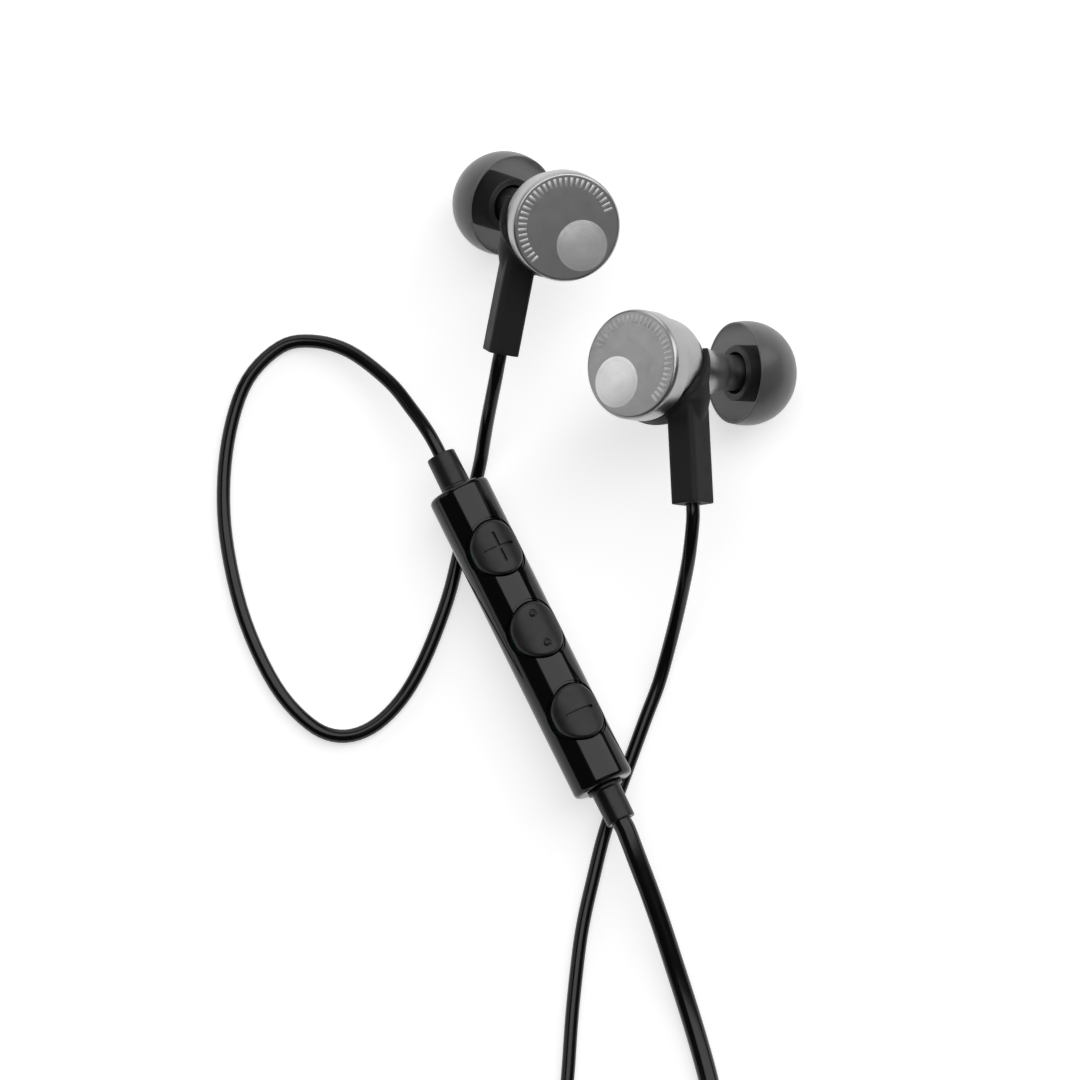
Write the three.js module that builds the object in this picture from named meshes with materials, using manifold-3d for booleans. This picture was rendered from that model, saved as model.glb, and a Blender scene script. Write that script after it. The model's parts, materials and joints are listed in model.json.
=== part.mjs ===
// Wired in-ear earphones with an inline remote, laid out on a flat surface.
// Millimetres, +Z up. The surface is z = 0, and the origin is on it, at the middle of the box around the
// two ear buds and the remote. The buds stand on their ear tips with their metal end caps facing up, and
// the spare cable lies in a coil.

import * as THREE from 'three';
import { mergeVertices } from 'three/addons/utils/BufferGeometryUtils.js';
import Module from 'manifold-3d';

const wasm = await Module();
wasm.setup();

// ---------------------------------------------------------------- driving dimensions

const GAP = 0.3; // between neighbouring pieces
const ROUND_SIDES = 24;
const SMALL_SIDES = 16;
const TINY_SIDES = 12;

// Ear bud. Its own frame: the cap's face is at z = 0 and looks along +Z, the stem points along -Y, and the
// nozzle leans from -Z towards +X on the right bud and towards -X on the left one.
const CAP_RADIUS = 6.0;
const CAP_DEPTH = 2.6;
const CAP_EDGE = 0.3;
const CAP_WALL = 0.7;
const CAP_FACE_THICKNESS = 0.8;
const HOUSING_WALL = 0.8;
const HOUSING_FLOOR = 0.4;
const HOUSING_OUTLINE = [ // radius and depth below the face
  [5.5, 2.9],
  [5.5, 5.1],
  [5.3, 6.1],
  [4.7, 7.2],
  [3.9, 8.2],
  [3.2, 9.1],
  [2.8, 9.8],
];
const BEND_DEPTH = 9.4; // where the nozzle's axis starts
const NOZZLE_LEAN = THREE.MathUtils.degToRad(22);
const NOZZLE_RADIUS = 1.9;
const NOZZLE_LENGTH = 12.0;
const NOZZLE_BORE = 1.3;
const STEM_DEPTH = 5.7;
const STEM_SHIFT = 3.2;
const STEM_WIDTH = 3.4;
const STEM_THICKNESS = 3.9;
const STEM_END = 15.1;
const TIP_START = 6.9; // along the nozzle's axis
const DRIVER_RADIUS = 4.2;
const TERMINAL_BOARD_LOW = new THREE.Vector3(-2.2, -1.3, -1.5);
const TERMINAL_BOARD_HIGH = new THREE.Vector3(2.2, 1.3, -1.1);

// Remote. Its own frame: +Y along its axis to the upper boot, +Z out of the buttons.
const REMOTE_RADIUS = 3.43;
const REMOTE_LENGTH = 36.4;
const REMOTE_EDGE = 0.6;
const REMOTE_WALL = 0.55;
const REMOTE_END_WALL = 1.2;
const BUTTON_WIDTH = 5.5;
const BUTTON_LENGTH = 6.3;
const BUTTON_PITCH = 10.0;
const BUTTON_PROUD = 0.25;
const BUTTON_CLEARANCE = 0.25;
const BUTTON_UNDERSIDE = 1.9;
const PLUNGER_TIP = 1.3;
const BOARD_TOP = 0.1;
const UPPER_BOOT_LENGTH = 4.2;
const LOWER_BOOT_LENGTH = 4.2;
const BOOT_RADIUS = 1.6;

// Cables
const BUD_CABLE_RADIUS = 0.75;
const LEAD_RADIUS = 1.1;
const MAIN_RADIUS = 1.1;
const CABLE_SIDES = 8;

// Coil of spare cable
const COIL_CENTRE = new THREE.Vector3(7.0, -102.0, 0);
const COIL_INNER = 7.6;
const COIL_OUTER = 21.2;
const COIL_LOWER_LAYERS = 4.6; // height of the main cable's two layers
const COIL_HEIGHT = 6.2; // with the right bud's cable on top
const TIE_ANGLE = THREE.MathUtils.degToRad(20);
const TIE_WIDTH = 3.0;
const TIE_THICKNESS = 0.5;

// Splitter and plug, along their own axes from where the cable comes in
const SPLITTER_RADIUS = 2.5;
const SPLITTER_LENGTH = 12.5;
const PLUG_BARREL_RADIUS = 2.7;
const PLUG_BARREL_LENGTH = 12.0;
const PLUG_BOOT_LENGTH = 7.0;
const PIN_RADIUS = 1.75;
const PIN_SEAM = 0.1;
const INSULATOR_LENGTH = 0.5;

// ---------------------------------------------------------------- where things lie

const BUDS = [
  {
    side: 'left',
    lean: -1,
    face: new THREE.Vector3(-5.1, 25.9, 19),
    normal: new THREE.Vector3(0.22, -0.303, 0.928),
    stem: new THREE.Vector3(-0.19, -0.949, -0.265),
  },
  {
    side: 'right',
    lean: 1,
    face: new THREE.Vector3(1.85, 11.4, 16),
    normal: new THREE.Vector3(-0.583, -0.07, 0.809),
    stem: new THREE.Vector3(0.05, -1.007, -0.05),
  },
];

const REMOTE_CENTRE = new THREE.Vector3(-9.0, -16.5, 5.25);
const REMOTE_HEADING = THREE.MathUtils.degToRad(26);
const REMOTE_ROLL = THREE.MathUtils.degToRad(17.5);

const SPLITTER_START = new THREE.Vector3(-6.5, -103.9, 9.0);
const SPLITTER_DIRECTION = new THREE.Vector3(0.423, -0.906, 0).normalize();
const PLUG_START = new THREE.Vector3(-7.0, -126.0, 2.7);
const PLUG_DIRECTION = new THREE.Vector3(0.85, -0.53, 0).normalize();

// Cable routes, from the object outwards
const LEFT_UPPER_ROUTE = [
  [-12.33, 13.43, 12.27],
  [-12.5, 12.6, 12.0],
  [-12.8, 11.1, 11.1],
  [-13.2, 9.4, 9.4],
  [-13.7, 7.3, 6.9],
  [-14.1, 5.4, 4.5],
  [-14.5, 3.4, 2.5],
  [-15.2, 0.5, 1.1],
  [-16.6, -5.5, 0.8],
  [-18.1, -11.6, 0.8],
  [-20.6, -18.2, 0.8],
  [-23.2, -22.7, 0.8],
  [-26.4, -25.7, 0.8],
  [-29.8, -26.6, 0.8],
  [-33.1, -25.2, 0.8],
  [-36.8, -21.0, 0.8],
  [-40.1, -13.9, 0.8],
  [-42.0, -6.1, 0.8],
  [-42.5, 0.6, 0.8],
  [-41.8, 7.2, 0.8],
  [-39.9, 12.8, 0.8],
  [-36.4, 16.4, 0.8],
  [-32.9, 17.0, 1.3],
  [-28.8, 15.7, 2.2],
  [-24.5, 12.15, 3.5],
  [-21.85, 8.7, 4.5],
  [-20.3, 6.4, 5.05],
  [-19.4, 4.8, 5.25],
  [-18.95, 3.9, 5.25],
];
const LEFT_LOWER_ROUTE = [
  [0.95, -36.9, 5.25],
  [1.4, -37.8, 5.2],
  [2.5, -40.7, 4.8],
  [3.9, -44.3, 4.0],
  [5.2, -47.9, 3.1],
  [6.5, -51.8, 2.2],
  [7.9, -56.1, 1.5],
  [9.2, -60.4, 1.15],
  [10.4, -65.0, 1.1],
  [11.0, -69.0, 1.5],
  [10.6, -73.5, 3.0],
  [8.8, -78.0, 5.5],
  [5.8, -81.8, 7.3],
  [2.2, -85.6, 7.7],
  [-1.4, -90.4, 7.9],
  [-4.0, -96.0, 8.4],
  [-5.9, -99.6, 8.8],
  [-6.2, -101.9, 9.0],
  [-5.6, -103.1, 9.0],
];
const RIGHT_ROUTE = [
  [8.54, -3.53, 14.18],
  [8.55, -5.0, 13.9],
  [8.3, -7.5, 12.6],
  [7.9, -9.9, 10.4],
  [7.0, -13.6, 6.0],
  [6.0, -17.2, 2.7],
  [4.9, -20.9, 1.1],
  [3.5, -24.6, 0.8],
  [1.3, -30.7, 0.8],
  [-0.9, -37.0, 0.8],
  [-2.3, -42.6, 0.8],
  [-3.2, -46.6, 0.8],
  [-3.8, -50.4, 0.8],
  [-4.5, -57.0, 0.8],
  [-5.0, -64.0, 0.8],
  [-5.6, -70.0, 0.9],
  [-6.6, -75.0, 2.0],
  [-7.9, -80.0, 3.9],
  [-9.3, -84.6, 5.1],
  [-10.3, -88.0, 5.7],
  [-10.7, -90.4, 5.8],
];
const RIGHT_END_ROUTE = [
  [-6.7, -96.6, 7.5],
  [-8.0, -99.6, 8.4],
  [-8.3, -102.6, 9.0],
  [-7.7, -104.0, 9.0],
];
const MAIN_START_ROUTE = [
  [0.8, -119.5, 9.0],
  [2.3, -122.6, 8.6],
  [4.6, -125.6, 7.2],
  [8.2, -127.3, 5.2],
  [12.5, -127.2, 3.2],
  [16.8, -124.9, 1.8],
  [21.0, -120.6, 1.2],
  [24.7, -115.5, 1.1],
];
const MAIN_END_ROUTE = [
  [-13.6, -112.5, 3.4],
  [-12.6, -118.0, 3.1],
  [-10.4, -122.5, 2.8],
  [-7.3, -125.8, 2.7],
];

// ---------------------------------------------------------------- materials

function material(color, roughness, metalness) {
  return new THREE.MeshStandardMaterial({ color, roughness, metalness });
}

const brushedMetal = material(0x8f8f90, 0.35, 0.9);
const darkMetal = material(0x6a6a6c, 0.4, 0.9);
const copper = material(0xb3703a, 0.4, 0.9);
const gold = material(0xc9a24a, 0.3, 1.0);
const magnetNickel = material(0xb9b9bb, 0.3, 1.0);
const glossBlack = material(0x0c0c0d, 0.12, 0.0);
const satinBlack = material(0x2b2b2c, 0.5, 0.0);
const rubberBlack = material(0x1d1d1e, 0.65, 0.0);
const siliconeGrey = material(0x47474a, 0.4, 0.0);
const boardGreen = material(0x1f5c3a, 0.6, 0.0);
const filmClear = material(0xd8d2c4, 0.4, 0.0);
const insulatorBlack = material(0x101010, 0.5, 0.0);

// ---------------------------------------------------------------- geometry helpers

// One closed skin: shared corners merged, faces with no area dropped, and every face looking outwards.
function closed(geometry) {
  const bare = geometry.clone();
  bare.deleteAttribute('normal');
  bare.deleteAttribute('uv');
  const merged = mergeVertices(bare, 1e-4);
  const corners = merged.index.array;
  const position = merged.attributes.position;
  const a = new THREE.Vector3();
  const b = new THREE.Vector3();
  const c = new THREE.Vector3();
  const kept = [];
  let volume = 0;
  for (let i = 0; i < corners.length; i += 3) {
    const [p, q, r] = [corners[i], corners[i + 1], corners[i + 2]];
    if (p !== q && q !== r && r !== p) {
      kept.push(p, q, r);
      a.fromBufferAttribute(position, p);
      b.fromBufferAttribute(position, q);
      c.fromBufferAttribute(position, r);
      volume += a.dot(b.cross(c));
    }
  }
  if (volume < 0) kept.reverse();
  merged.setIndex(kept);
  return merged;
}

function toSolid(geometry) {
  const skin = closed(geometry);
  return new wasm.Manifold(
    new wasm.Mesh({
      numProp: 3,
      vertProperties: new Float32Array(skin.attributes.position.array),
      triVerts: new Uint32Array(skin.index.array),
    }),
  );
}

function toGeometry(solid) {
  const mesh = solid.getMesh();
  const geometry = new THREE.BufferGeometry();
  geometry.setAttribute('position', new THREE.BufferAttribute(new Float32Array(mesh.vertProperties), 3));
  geometry.setIndex(new THREE.BufferAttribute(new Uint32Array(mesh.triVerts), 1));
  return geometry;
}

// A round piece about Z from [radius, z] pairs. The profile starts and ends on the axis, or closes on itself.
function turned(profile, sides = ROUND_SIDES) {
  const geometry = new THREE.LatheGeometry(
    profile.map(([radius, z]) => new THREE.Vector2(radius, z)),
    sides,
  );
  geometry.rotateX(Math.PI / 2);
  return closed(geometry);
}

function disc(radius, low, high, sides = ROUND_SIDES) {
  return turned([[0, low], [radius, low], [radius, high], [0, high]], sides);
}

function ring(inner, outer, low, high, sides = ROUND_SIDES) {
  return turned([[inner, low], [outer, low], [outer, high], [inner, high], [inner, low]], sides);
}

function block(low, high) {
  const size = new THREE.Vector3().subVectors(high, low);
  const geometry = new THREE.BoxGeometry(size.x, size.y, size.z);
  geometry.translate((low.x + high.x) / 2, (low.y + high.y) / 2, (low.z + high.z) / 2);
  return geometry;
}

function roundedRectangle(width, height, radius) {
  const x = width / 2;
  const y = height / 2;
  const shape = new THREE.Shape();
  shape.moveTo(x, y - radius);
  shape.absarc(x - radius, y - radius, radius, 0, Math.PI / 2);
  shape.absarc(-x + radius, y - radius, radius, Math.PI / 2, Math.PI);
  shape.absarc(-x + radius, -y + radius, radius, Math.PI, 1.5 * Math.PI);
  shape.absarc(x - radius, -y + radius, radius, 1.5 * Math.PI, 2 * Math.PI);
  return shape;
}

function prism(shape, low, high, curveSegments) {
  const geometry = new THREE.ExtrudeGeometry(shape, { depth: high - low, bevelEnabled: false, curveSegments });
  geometry.translate(0, 0, low);
  return closed(geometry);
}

function tube(route, radius, steps) {
  const shape = new THREE.Shape();
  for (let side = 0; side < CABLE_SIDES; side += 1) {
    const angle = (2 * Math.PI * side) / CABLE_SIDES;
    const corner = [radius * Math.cos(angle), radius * Math.sin(angle)];
    if (side === 0) shape.moveTo(...corner);
    else shape.lineTo(...corner);
  }
  const extrudePath = new THREE.CatmullRomCurve3(route.map((point) => new THREE.Vector3(...point)));
  return closed(new THREE.ExtrudeGeometry(shape, { steps, extrudePath, bevelEnabled: false }));
}

function add(parent, name, geometry, look) {
  const mesh = new THREE.Mesh(geometry, look);
  mesh.name = name;
  parent.add(mesh);
  return mesh;
}

// ---------------------------------------------------------------- ear buds

function alongNozzle(geometry, lean) {
  geometry.rotateX(Math.PI);
  geometry.rotateY(-lean * NOZZLE_LEAN);
  geometry.translate(0, 0, -BEND_DEPTH);
  return geometry;
}

// A shallow metal cup, open towards the nozzle.
function endCap() {
  const inner = CAP_RADIUS - CAP_WALL;
  return turned([
    [0, -CAP_FACE_THICKNESS],
    [inner, -CAP_FACE_THICKNESS],
    [inner, -CAP_DEPTH],
    [CAP_RADIUS, -CAP_DEPTH],
    [CAP_RADIUS, -CAP_EDGE],
    [CAP_RADIUS - CAP_EDGE, 0],
    [0, 0],
  ]);
}

function housingSolid(offset) {
  const rows = HOUSING_OUTLINE.map(([radius, depth]) => [radius + offset, -depth]);
  return toSolid(turned([[0, rows[0][1]], ...rows, [0, rows.at(-1)[1]]]));
}

// The metal housing tapers from the cap to the nozzle, which carries a barb for the ear tip.
function housing(lean) {
  const nozzle = toSolid(alongNozzle(turned([
    [0, -0.8],
    [NOZZLE_RADIUS, -0.8],
    [NOZZLE_RADIUS, NOZZLE_LENGTH - 1.6],
    [NOZZLE_RADIUS + GAP, NOZZLE_LENGTH - 1.2],
    [NOZZLE_RADIUS, NOZZLE_LENGTH - 0.4],
    [NOZZLE_RADIUS - 0.2, NOZZLE_LENGTH],
    [0, NOZZLE_LENGTH],
  ], SMALL_SIDES), lean));
  const bore = toSolid(alongNozzle(disc(NOZZLE_BORE, -1.5, NOZZLE_LENGTH + 1, TINY_SIDES), lean));
  const cavity = housingSolid(-HOUSING_WALL).translate([0, 0, HOUSING_FLOOR]);
  const mouth = toSolid(disc(HOUSING_OUTLINE[0][0] - HOUSING_WALL, -4, -1));
  return toGeometry(housingSolid(0).add(nozzle).subtract(cavity).subtract(mouth).subtract(bore));
}

// Stem and strain relief: a flat-sided post that flares where it meets the housing.
function stem(lean) {
  const shift = lean * STEM_SHIFT;
  const post = prism(roundedRectangle(STEM_WIDTH, STEM_THICKNESS, 0.6), 2, STEM_END, 3);
  post.rotateX(Math.PI / 2);
  post.translate(shift, 0, -STEM_DEPTH);
  const flareOutline = [[0, 2], [2.9, 2], [2.9, 4.2], [2.4, 5.4], [1.7, 7.2], [1.2, 9], [0, 9]];
  const flare = turned(flareOutline, SMALL_SIDES);
  flare.rotateX(Math.PI / 2);
  flare.translate(shift, 0, -STEM_DEPTH);
  const room = housingSolid(GAP).add(toSolid(disc(CAP_RADIUS + GAP, -CAP_DEPTH - GAP, 0)));
  return toGeometry(toSolid(post).add(toSolid(flare)).subtract(room));
}

// A mushroom of silicone: a core that grips the nozzle, and a thin dome with a hollow skirt.
function earTip(lean) {
  const core = NOZZLE_RADIUS + 2 * GAP;
  const geometry = turned([
    [core, 0],
    [core, 5.3],
    [1.9, 5.6],
    [1.9, 6.3],
    [2.5, 6.4],
    [3.6, 5.9],
    [4.7, 4.6],
    [5.6, 3.0],
    [5.85, 1.4],
    [5.7, 0],
    [5.3, 0],
    [5.4, 1.5],
    [5.0, 2.9],
    [4.2, 4.2],
    [core + 0.6, 4.6],
    [core + 0.6, 0],
    [core, 0],
  ]);
  geometry.translate(0, 0, TIP_START);
  return alongNozzle(geometry, lean);
}

function nozzleMesh(lean) {
  return alongNozzle(disc(NOZZLE_BORE - GAP, NOZZLE_LENGTH - 0.7, NOZZLE_LENGTH - 0.4, TINY_SIDES), lean);
}

// Dynamic driver, from the cap inwards: terminal board, magnet cup, magnet, top plate, voice coil, diaphragm,
// with the frame around them.
const DRIVER_PIECES = [
  ['terminal_board', boardGreen, () => block(TERMINAL_BOARD_LOW, TERMINAL_BOARD_HIGH)],
  ['magnet_cup', magnetNickel, () => turned([
    [0, -1.8], [2.9, -1.8], [2.9, -3.8], [2.5, -3.8], [2.5, -2.2], [0, -2.2],
  ], SMALL_SIDES)],
  ['magnet', darkMetal, () => disc(1.7, -3.2, -2.5, SMALL_SIDES)],
  ['top_plate', magnetNickel, () => disc(1.7, -3.8, -3.5, SMALL_SIDES)],
  ['voice_coil', copper, () => ring(2.0, 2.2, -4.0, -3.1, SMALL_SIDES)],
  ['diaphragm', filmClear, () => turned([
    [0, -4.15], [2.2, -4.3], [3.5, -4.3], [3.5, -4.45], [2.2, -4.45], [0, -4.3],
  ], SMALL_SIDES)],
  ['driver_frame', darkMetal, () => turned([
    [DRIVER_RADIUS, -1.6], [DRIVER_RADIUS, -5.0], [3.0, -5.0], [3.0, -4.7], [3.8, -4.7], [3.8, -1.6],
    [DRIVER_RADIUS, -1.6],
  ])],
];

function earBud({ side, lean, face, normal, stem: stemDirection }) {
  const group = new THREE.Group();
  add(group, `${side}_end_cap`, endCap(), brushedMetal);
  add(group, `${side}_housing`, housing(lean), brushedMetal);
  add(group, `${side}_stem`, stem(lean), rubberBlack);
  add(group, `${side}_nozzle_mesh`, nozzleMesh(lean), darkMetal);
  for (const [name, look, make] of DRIVER_PIECES) add(group, `${side}_${name}`, make(), look);
  const tip = add(group, `${side}_ear_tip`, earTip(lean), siliconeGrey);

  const z = normal.clone().normalize();
  const y = stemDirection.clone().negate().addScaledVector(z, stemDirection.dot(z)).normalize();
  const x = new THREE.Vector3().crossVectors(y, z);
  group.quaternion.setFromRotationMatrix(new THREE.Matrix4().makeBasis(x, y, z));
  group.position.copy(face);
  // The ear tip's lowest point rests on the surface.
  group.updateMatrixWorld(true);
  group.position.z -= new THREE.Box3().setFromObject(tip, true).min.z;
  return group;
}

// ---------------------------------------------------------------- remote

function alongRemote(geometry) {
  geometry.rotateX(-Math.PI / 2);
  return geometry;
}

function remoteShell() {
  const half = REMOTE_LENGTH / 2;
  const outside = toSolid(alongRemote(turned([
    [0, -half],
    [REMOTE_RADIUS - REMOTE_EDGE, -half],
    [REMOTE_RADIUS - 0.18, -half + 0.18],
    [REMOTE_RADIUS, -half + REMOTE_EDGE],
    [REMOTE_RADIUS, half - REMOTE_EDGE],
    [REMOTE_RADIUS - 0.18, half - 0.18],
    [REMOTE_RADIUS - REMOTE_EDGE, half],
    [0, half],
  ])));
  const end = half - REMOTE_END_WALL;
  const cavity = toSolid(alongRemote(disc(REMOTE_RADIUS - REMOTE_WALL, -end, end)));
  const cableWay = toSolid(alongRemote(disc(1.5, -half - 1, half + 1, SMALL_SIDES)));
  return outside.subtract(cavity).subtract(cableWay);
}

function buttonShape(clearance) {
  const width = BUTTON_WIDTH + 2 * clearance;
  return roundedRectangle(width, BUTTON_LENGTH + 2 * clearance, width / 2 - 0.01);
}

function frontShell() {
  const upper = toSolid(block(new THREE.Vector3(-5, -20, GAP / 2), new THREE.Vector3(5, 20, 5)));
  let shell = remoteShell().intersect(upper);
  for (const place of [-1, 0, 1]) {
    const opening = prism(buttonShape(BUTTON_CLEARANCE), -1, 5, 6);
    opening.translate(0, place * BUTTON_PITCH, 0);
    shell = shell.subtract(toSolid(opening));
  }
  return toGeometry(shell);
}

function rearShell() {
  const lower = toSolid(block(new THREE.Vector3(-5, -20, -5), new THREE.Vector3(5, 20, -GAP / 2)));
  const microphonePort = disc(0.45, -5, -1, 12);
  microphonePort.translate(0, BUTTON_PITCH * 1.5, 0);
  return toGeometry(remoteShell().intersect(lower).subtract(toSolid(microphonePort)));
}

// A key that follows the remote's roundness, with a plunger over its switch.
function button(place) {
  const key = toSolid(prism(buttonShape(0), BUTTON_UNDERSIDE, 5, 6));
  const crown = toSolid(alongRemote(disc(REMOTE_RADIUS + BUTTON_PROUD, -5, 5, 32)));
  const plunger = toSolid(disc(0.8, PLUNGER_TIP, 2.6, 12));
  const geometry = toGeometry(key.intersect(crown).add(plunger));
  geometry.translate(0, place * BUTTON_PITCH, 0);
  return geometry;
}

function domeSwitch(place) {
  const low = BOARD_TOP + GAP;
  const geometry = turned([[0, low], [1.4, low], [1.3, 0.7], [0.6, 0.93], [0, 0.95]], SMALL_SIDES);
  geometry.translate(0, place * BUTTON_PITCH, 0);
  return geometry;
}

// A boot outside the end face, with a neck through the end wall and a flange inside.
function boot(length, end) {
  const half = REMOTE_LENGTH / 2;
  const inside = half - REMOTE_END_WALL - GAP;
  const tip = half + length;
  const geometry = turned([
    [0, inside - 0.7],
    [2.1, inside - 0.7],
    [2.1, inside],
    [1.2, inside],
    [1.2, half + 0.1],
    [1.9, half + 0.1],
    [1.9, half + 0.6],
    [BOOT_RADIUS, half + 0.75],
    [BOOT_RADIUS, tip - 0.25],
    [BOOT_RADIUS - 0.25, tip],
    [0, tip],
  ], SMALL_SIDES);
  geometry.rotateX(-end * Math.PI / 2);
  return geometry;
}

function remote() {
  const group = new THREE.Group();
  add(group, 'remote_front_shell', frontShell(), glossBlack);
  add(group, 'remote_rear_shell', rearShell(), glossBlack);
  const keys = [['volume_up', 1], ['centre', 0], ['volume_down', -1]];
  for (const [name, place] of keys) {
    add(group, `${name}_button`, button(place), satinBlack);
    add(group, `${name}_switch`, domeSwitch(place), magnetNickel);
  }
  const board = block(new THREE.Vector3(-2.2, -15.4, BOARD_TOP - 0.6), new THREE.Vector3(2.2, 15.4, BOARD_TOP));
  add(group, 'remote_circuit_board', board, boardGreen);
  const microphone = disc(1.1, -1.9, BOARD_TOP - 0.6 - GAP, SMALL_SIDES);
  microphone.translate(0, BUTTON_PITCH * 1.35, 0);
  add(group, 'microphone_capsule', microphone, magnetNickel);
  add(group, 'remote_upper_boot', boot(UPPER_BOOT_LENGTH, 1), satinBlack);
  add(group, 'remote_lower_boot', boot(LOWER_BOOT_LENGTH, -1), satinBlack);
  group.rotation.set(0, REMOTE_ROLL, REMOTE_HEADING, 'ZYX');
  group.position.copy(REMOTE_CENTRE);
  return group;
}

// ---------------------------------------------------------------- cables, coil and tie

function cables() {
  const group = new THREE.Group();
  add(group, 'left_upper_cable', tube(LEFT_UPPER_ROUTE, BUD_CABLE_RADIUS, 28), rubberBlack);
  add(group, 'left_lower_cable', tube(LEFT_LOWER_ROUTE, LEAD_RADIUS, 17), rubberBlack);
  add(group, 'right_cable', tube(RIGHT_ROUTE, BUD_CABLE_RADIUS, 24), rubberBlack);
  add(group, 'right_cable_end', tube(RIGHT_END_ROUTE, BUD_CABLE_RADIUS, 3), rubberBlack);
  add(group, 'main_cable_start', tube(MAIN_START_ROUTE, MAIN_RADIUS, 8), rubberBlack);
  add(group, 'main_cable_end', tube(MAIN_END_ROUTE, MAIN_RADIUS, 4), rubberBlack);
  return group;
}

// The tie is a flat band around the bundle, and the coil's underside has a slot for it.
function tieBand() {
  const inner = COIL_INNER - GAP;
  const outer = COIL_OUTER + GAP;
  const top = COIL_HEIGHT + GAP;
  const outline = new THREE.Shape();
  outline.moveTo(inner - TIE_THICKNESS, 0);
  outline.lineTo(outer + TIE_THICKNESS, 0);
  outline.lineTo(outer + TIE_THICKNESS, top + TIE_THICKNESS);
  outline.lineTo(inner - TIE_THICKNESS, top + TIE_THICKNESS);
  const hole = new THREE.Path();
  hole.moveTo(inner, TIE_THICKNESS);
  hole.lineTo(outer, TIE_THICKNESS);
  hole.lineTo(outer, top);
  hole.lineTo(inner, top);
  outline.holes.push(hole);
  const geometry = prism(outline, -TIE_WIDTH / 2, TIE_WIDTH / 2, 1);
  geometry.rotateX(Math.PI / 2);
  return geometry;
}

function coilAndTie() {
  const group = new THREE.Group();
  const wound = toSolid(turned([
    [COIL_INNER, 0],
    [COIL_OUTER, 0],
    [COIL_OUTER, COIL_LOWER_LAYERS],
    [19.3, COIL_HEIGHT],
    [13.2, COIL_HEIGHT],
    [12.0, COIL_LOWER_LAYERS],
    [COIL_INNER, COIL_LOWER_LAYERS],
    [COIL_INNER, 0],
  ], 36));
  const slotHigh = new THREE.Vector3(COIL_OUTER + 2, TIE_WIDTH / 2 + GAP, TIE_THICKNESS + GAP);
  const slotLow = new THREE.Vector3(COIL_INNER - 2, -TIE_WIDTH / 2 - GAP, -1);
  const slot = block(slotLow, slotHigh);
  slot.rotateZ(TIE_ANGLE);
  add(group, 'cable_coil', toGeometry(wound.subtract(toSolid(slot))), rubberBlack);
  const tie = add(group, 'cable_tie', tieBand(), rubberBlack);
  tie.rotation.z = TIE_ANGLE;
  group.position.copy(COIL_CENTRE);
  return group;
}

// ---------------------------------------------------------------- splitter and plug

function pointedAlong(group, start, direction) {
  group.quaternion.setFromUnitVectors(new THREE.Vector3(0, 0, 1), direction);
  group.position.copy(start);
  return group;
}

function splitter() {
  const group = new THREE.Group();
  const end = SPLITTER_LENGTH;
  add(group, 'splitter_core', turned([
    [0, 0],
    [2.2, 0],
    [2.4, 0.3],
    [2.4, 1.5],
    [1.7, 1.5],
    [1.7, end + GAP],
    [2.3, end + GAP],
    [2.2, end + 1.5],
    [1.5, end + 4.2],
    [0, end + 4.2],
  ], SMALL_SIDES), rubberBlack);
  add(group, 'splitter_sleeve', ring(1.7 + GAP, SPLITTER_RADIUS, 1.5 + GAP, end, SMALL_SIDES), brushedMetal);
  return pointedAlong(group, SPLITTER_START, SPLITTER_DIRECTION);
}

function plug() {
  const group = new THREE.Group();
  const barrelStart = PLUG_BOOT_LENGTH + GAP;
  const shoulder = barrelStart + PLUG_BARREL_LENGTH;
  add(group, 'plug_boot', turned([
    [0, 0], [1.4, 0], [1.6, 0.4], [2.1, PLUG_BOOT_LENGTH], [0, PLUG_BOOT_LENGTH],
  ], SMALL_SIDES), rubberBlack);
  add(group, 'plug_barrel', turned([
    [0, barrelStart],
    [PLUG_BARREL_RADIUS - 0.3, barrelStart],
    [PLUG_BARREL_RADIUS, barrelStart + 0.4],
    [PLUG_BARREL_RADIUS, shoulder],
    [0, shoulder],
  ], SMALL_SIDES), brushedMetal);

  // Four contacts with an insulating washer between each pair
  const contacts = [['sleeve', 5.3], ['ring_2', 1.8], ['ring_1', 1.8]];
  let at = shoulder + PIN_SEAM;
  for (const [name, length] of contacts) {
    add(group, `plug_${name}_contact`, disc(PIN_RADIUS, at, at + length, SMALL_SIDES), gold);
    at += length + PIN_SEAM;
    const washer = disc(PIN_RADIUS - 0.05, at, at + INSULATOR_LENGTH, SMALL_SIDES);
    add(group, `plug_${name}_insulator`, washer, insulatorBlack);
    at += INSULATOR_LENGTH + PIN_SEAM;
  }
  add(group, 'plug_tip_contact', turned([
    [0, at],
    [PIN_RADIUS, at],
    [PIN_RADIUS, at + 0.4],
    [1.15, at + 1.2],
    [1.6, at + 2.1],
    [0.8, at + 3.5],
    [0, at + 3.5],
  ], SMALL_SIDES), gold);
  return pointedAlong(group, PLUG_START, PLUG_DIRECTION);
}

// ---------------------------------------------------------------- the whole object

const earphones = new THREE.Group();
for (const bud of BUDS) earphones.add(earBud(bud));
earphones.add(remote(), cables(), coilAndTie(), splitter(), plug());

export default earphones;
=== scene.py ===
"""Looks for the wired earphones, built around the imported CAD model.

Lengths in shape functions are millimetres, in each piece's own frame, and place() turns them into metres.
Cord routes are metres, in the object's frame.
"""

import json
import math

import bmesh
import bpy
import numpy as np
from mathutils import Matrix, Vector


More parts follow.
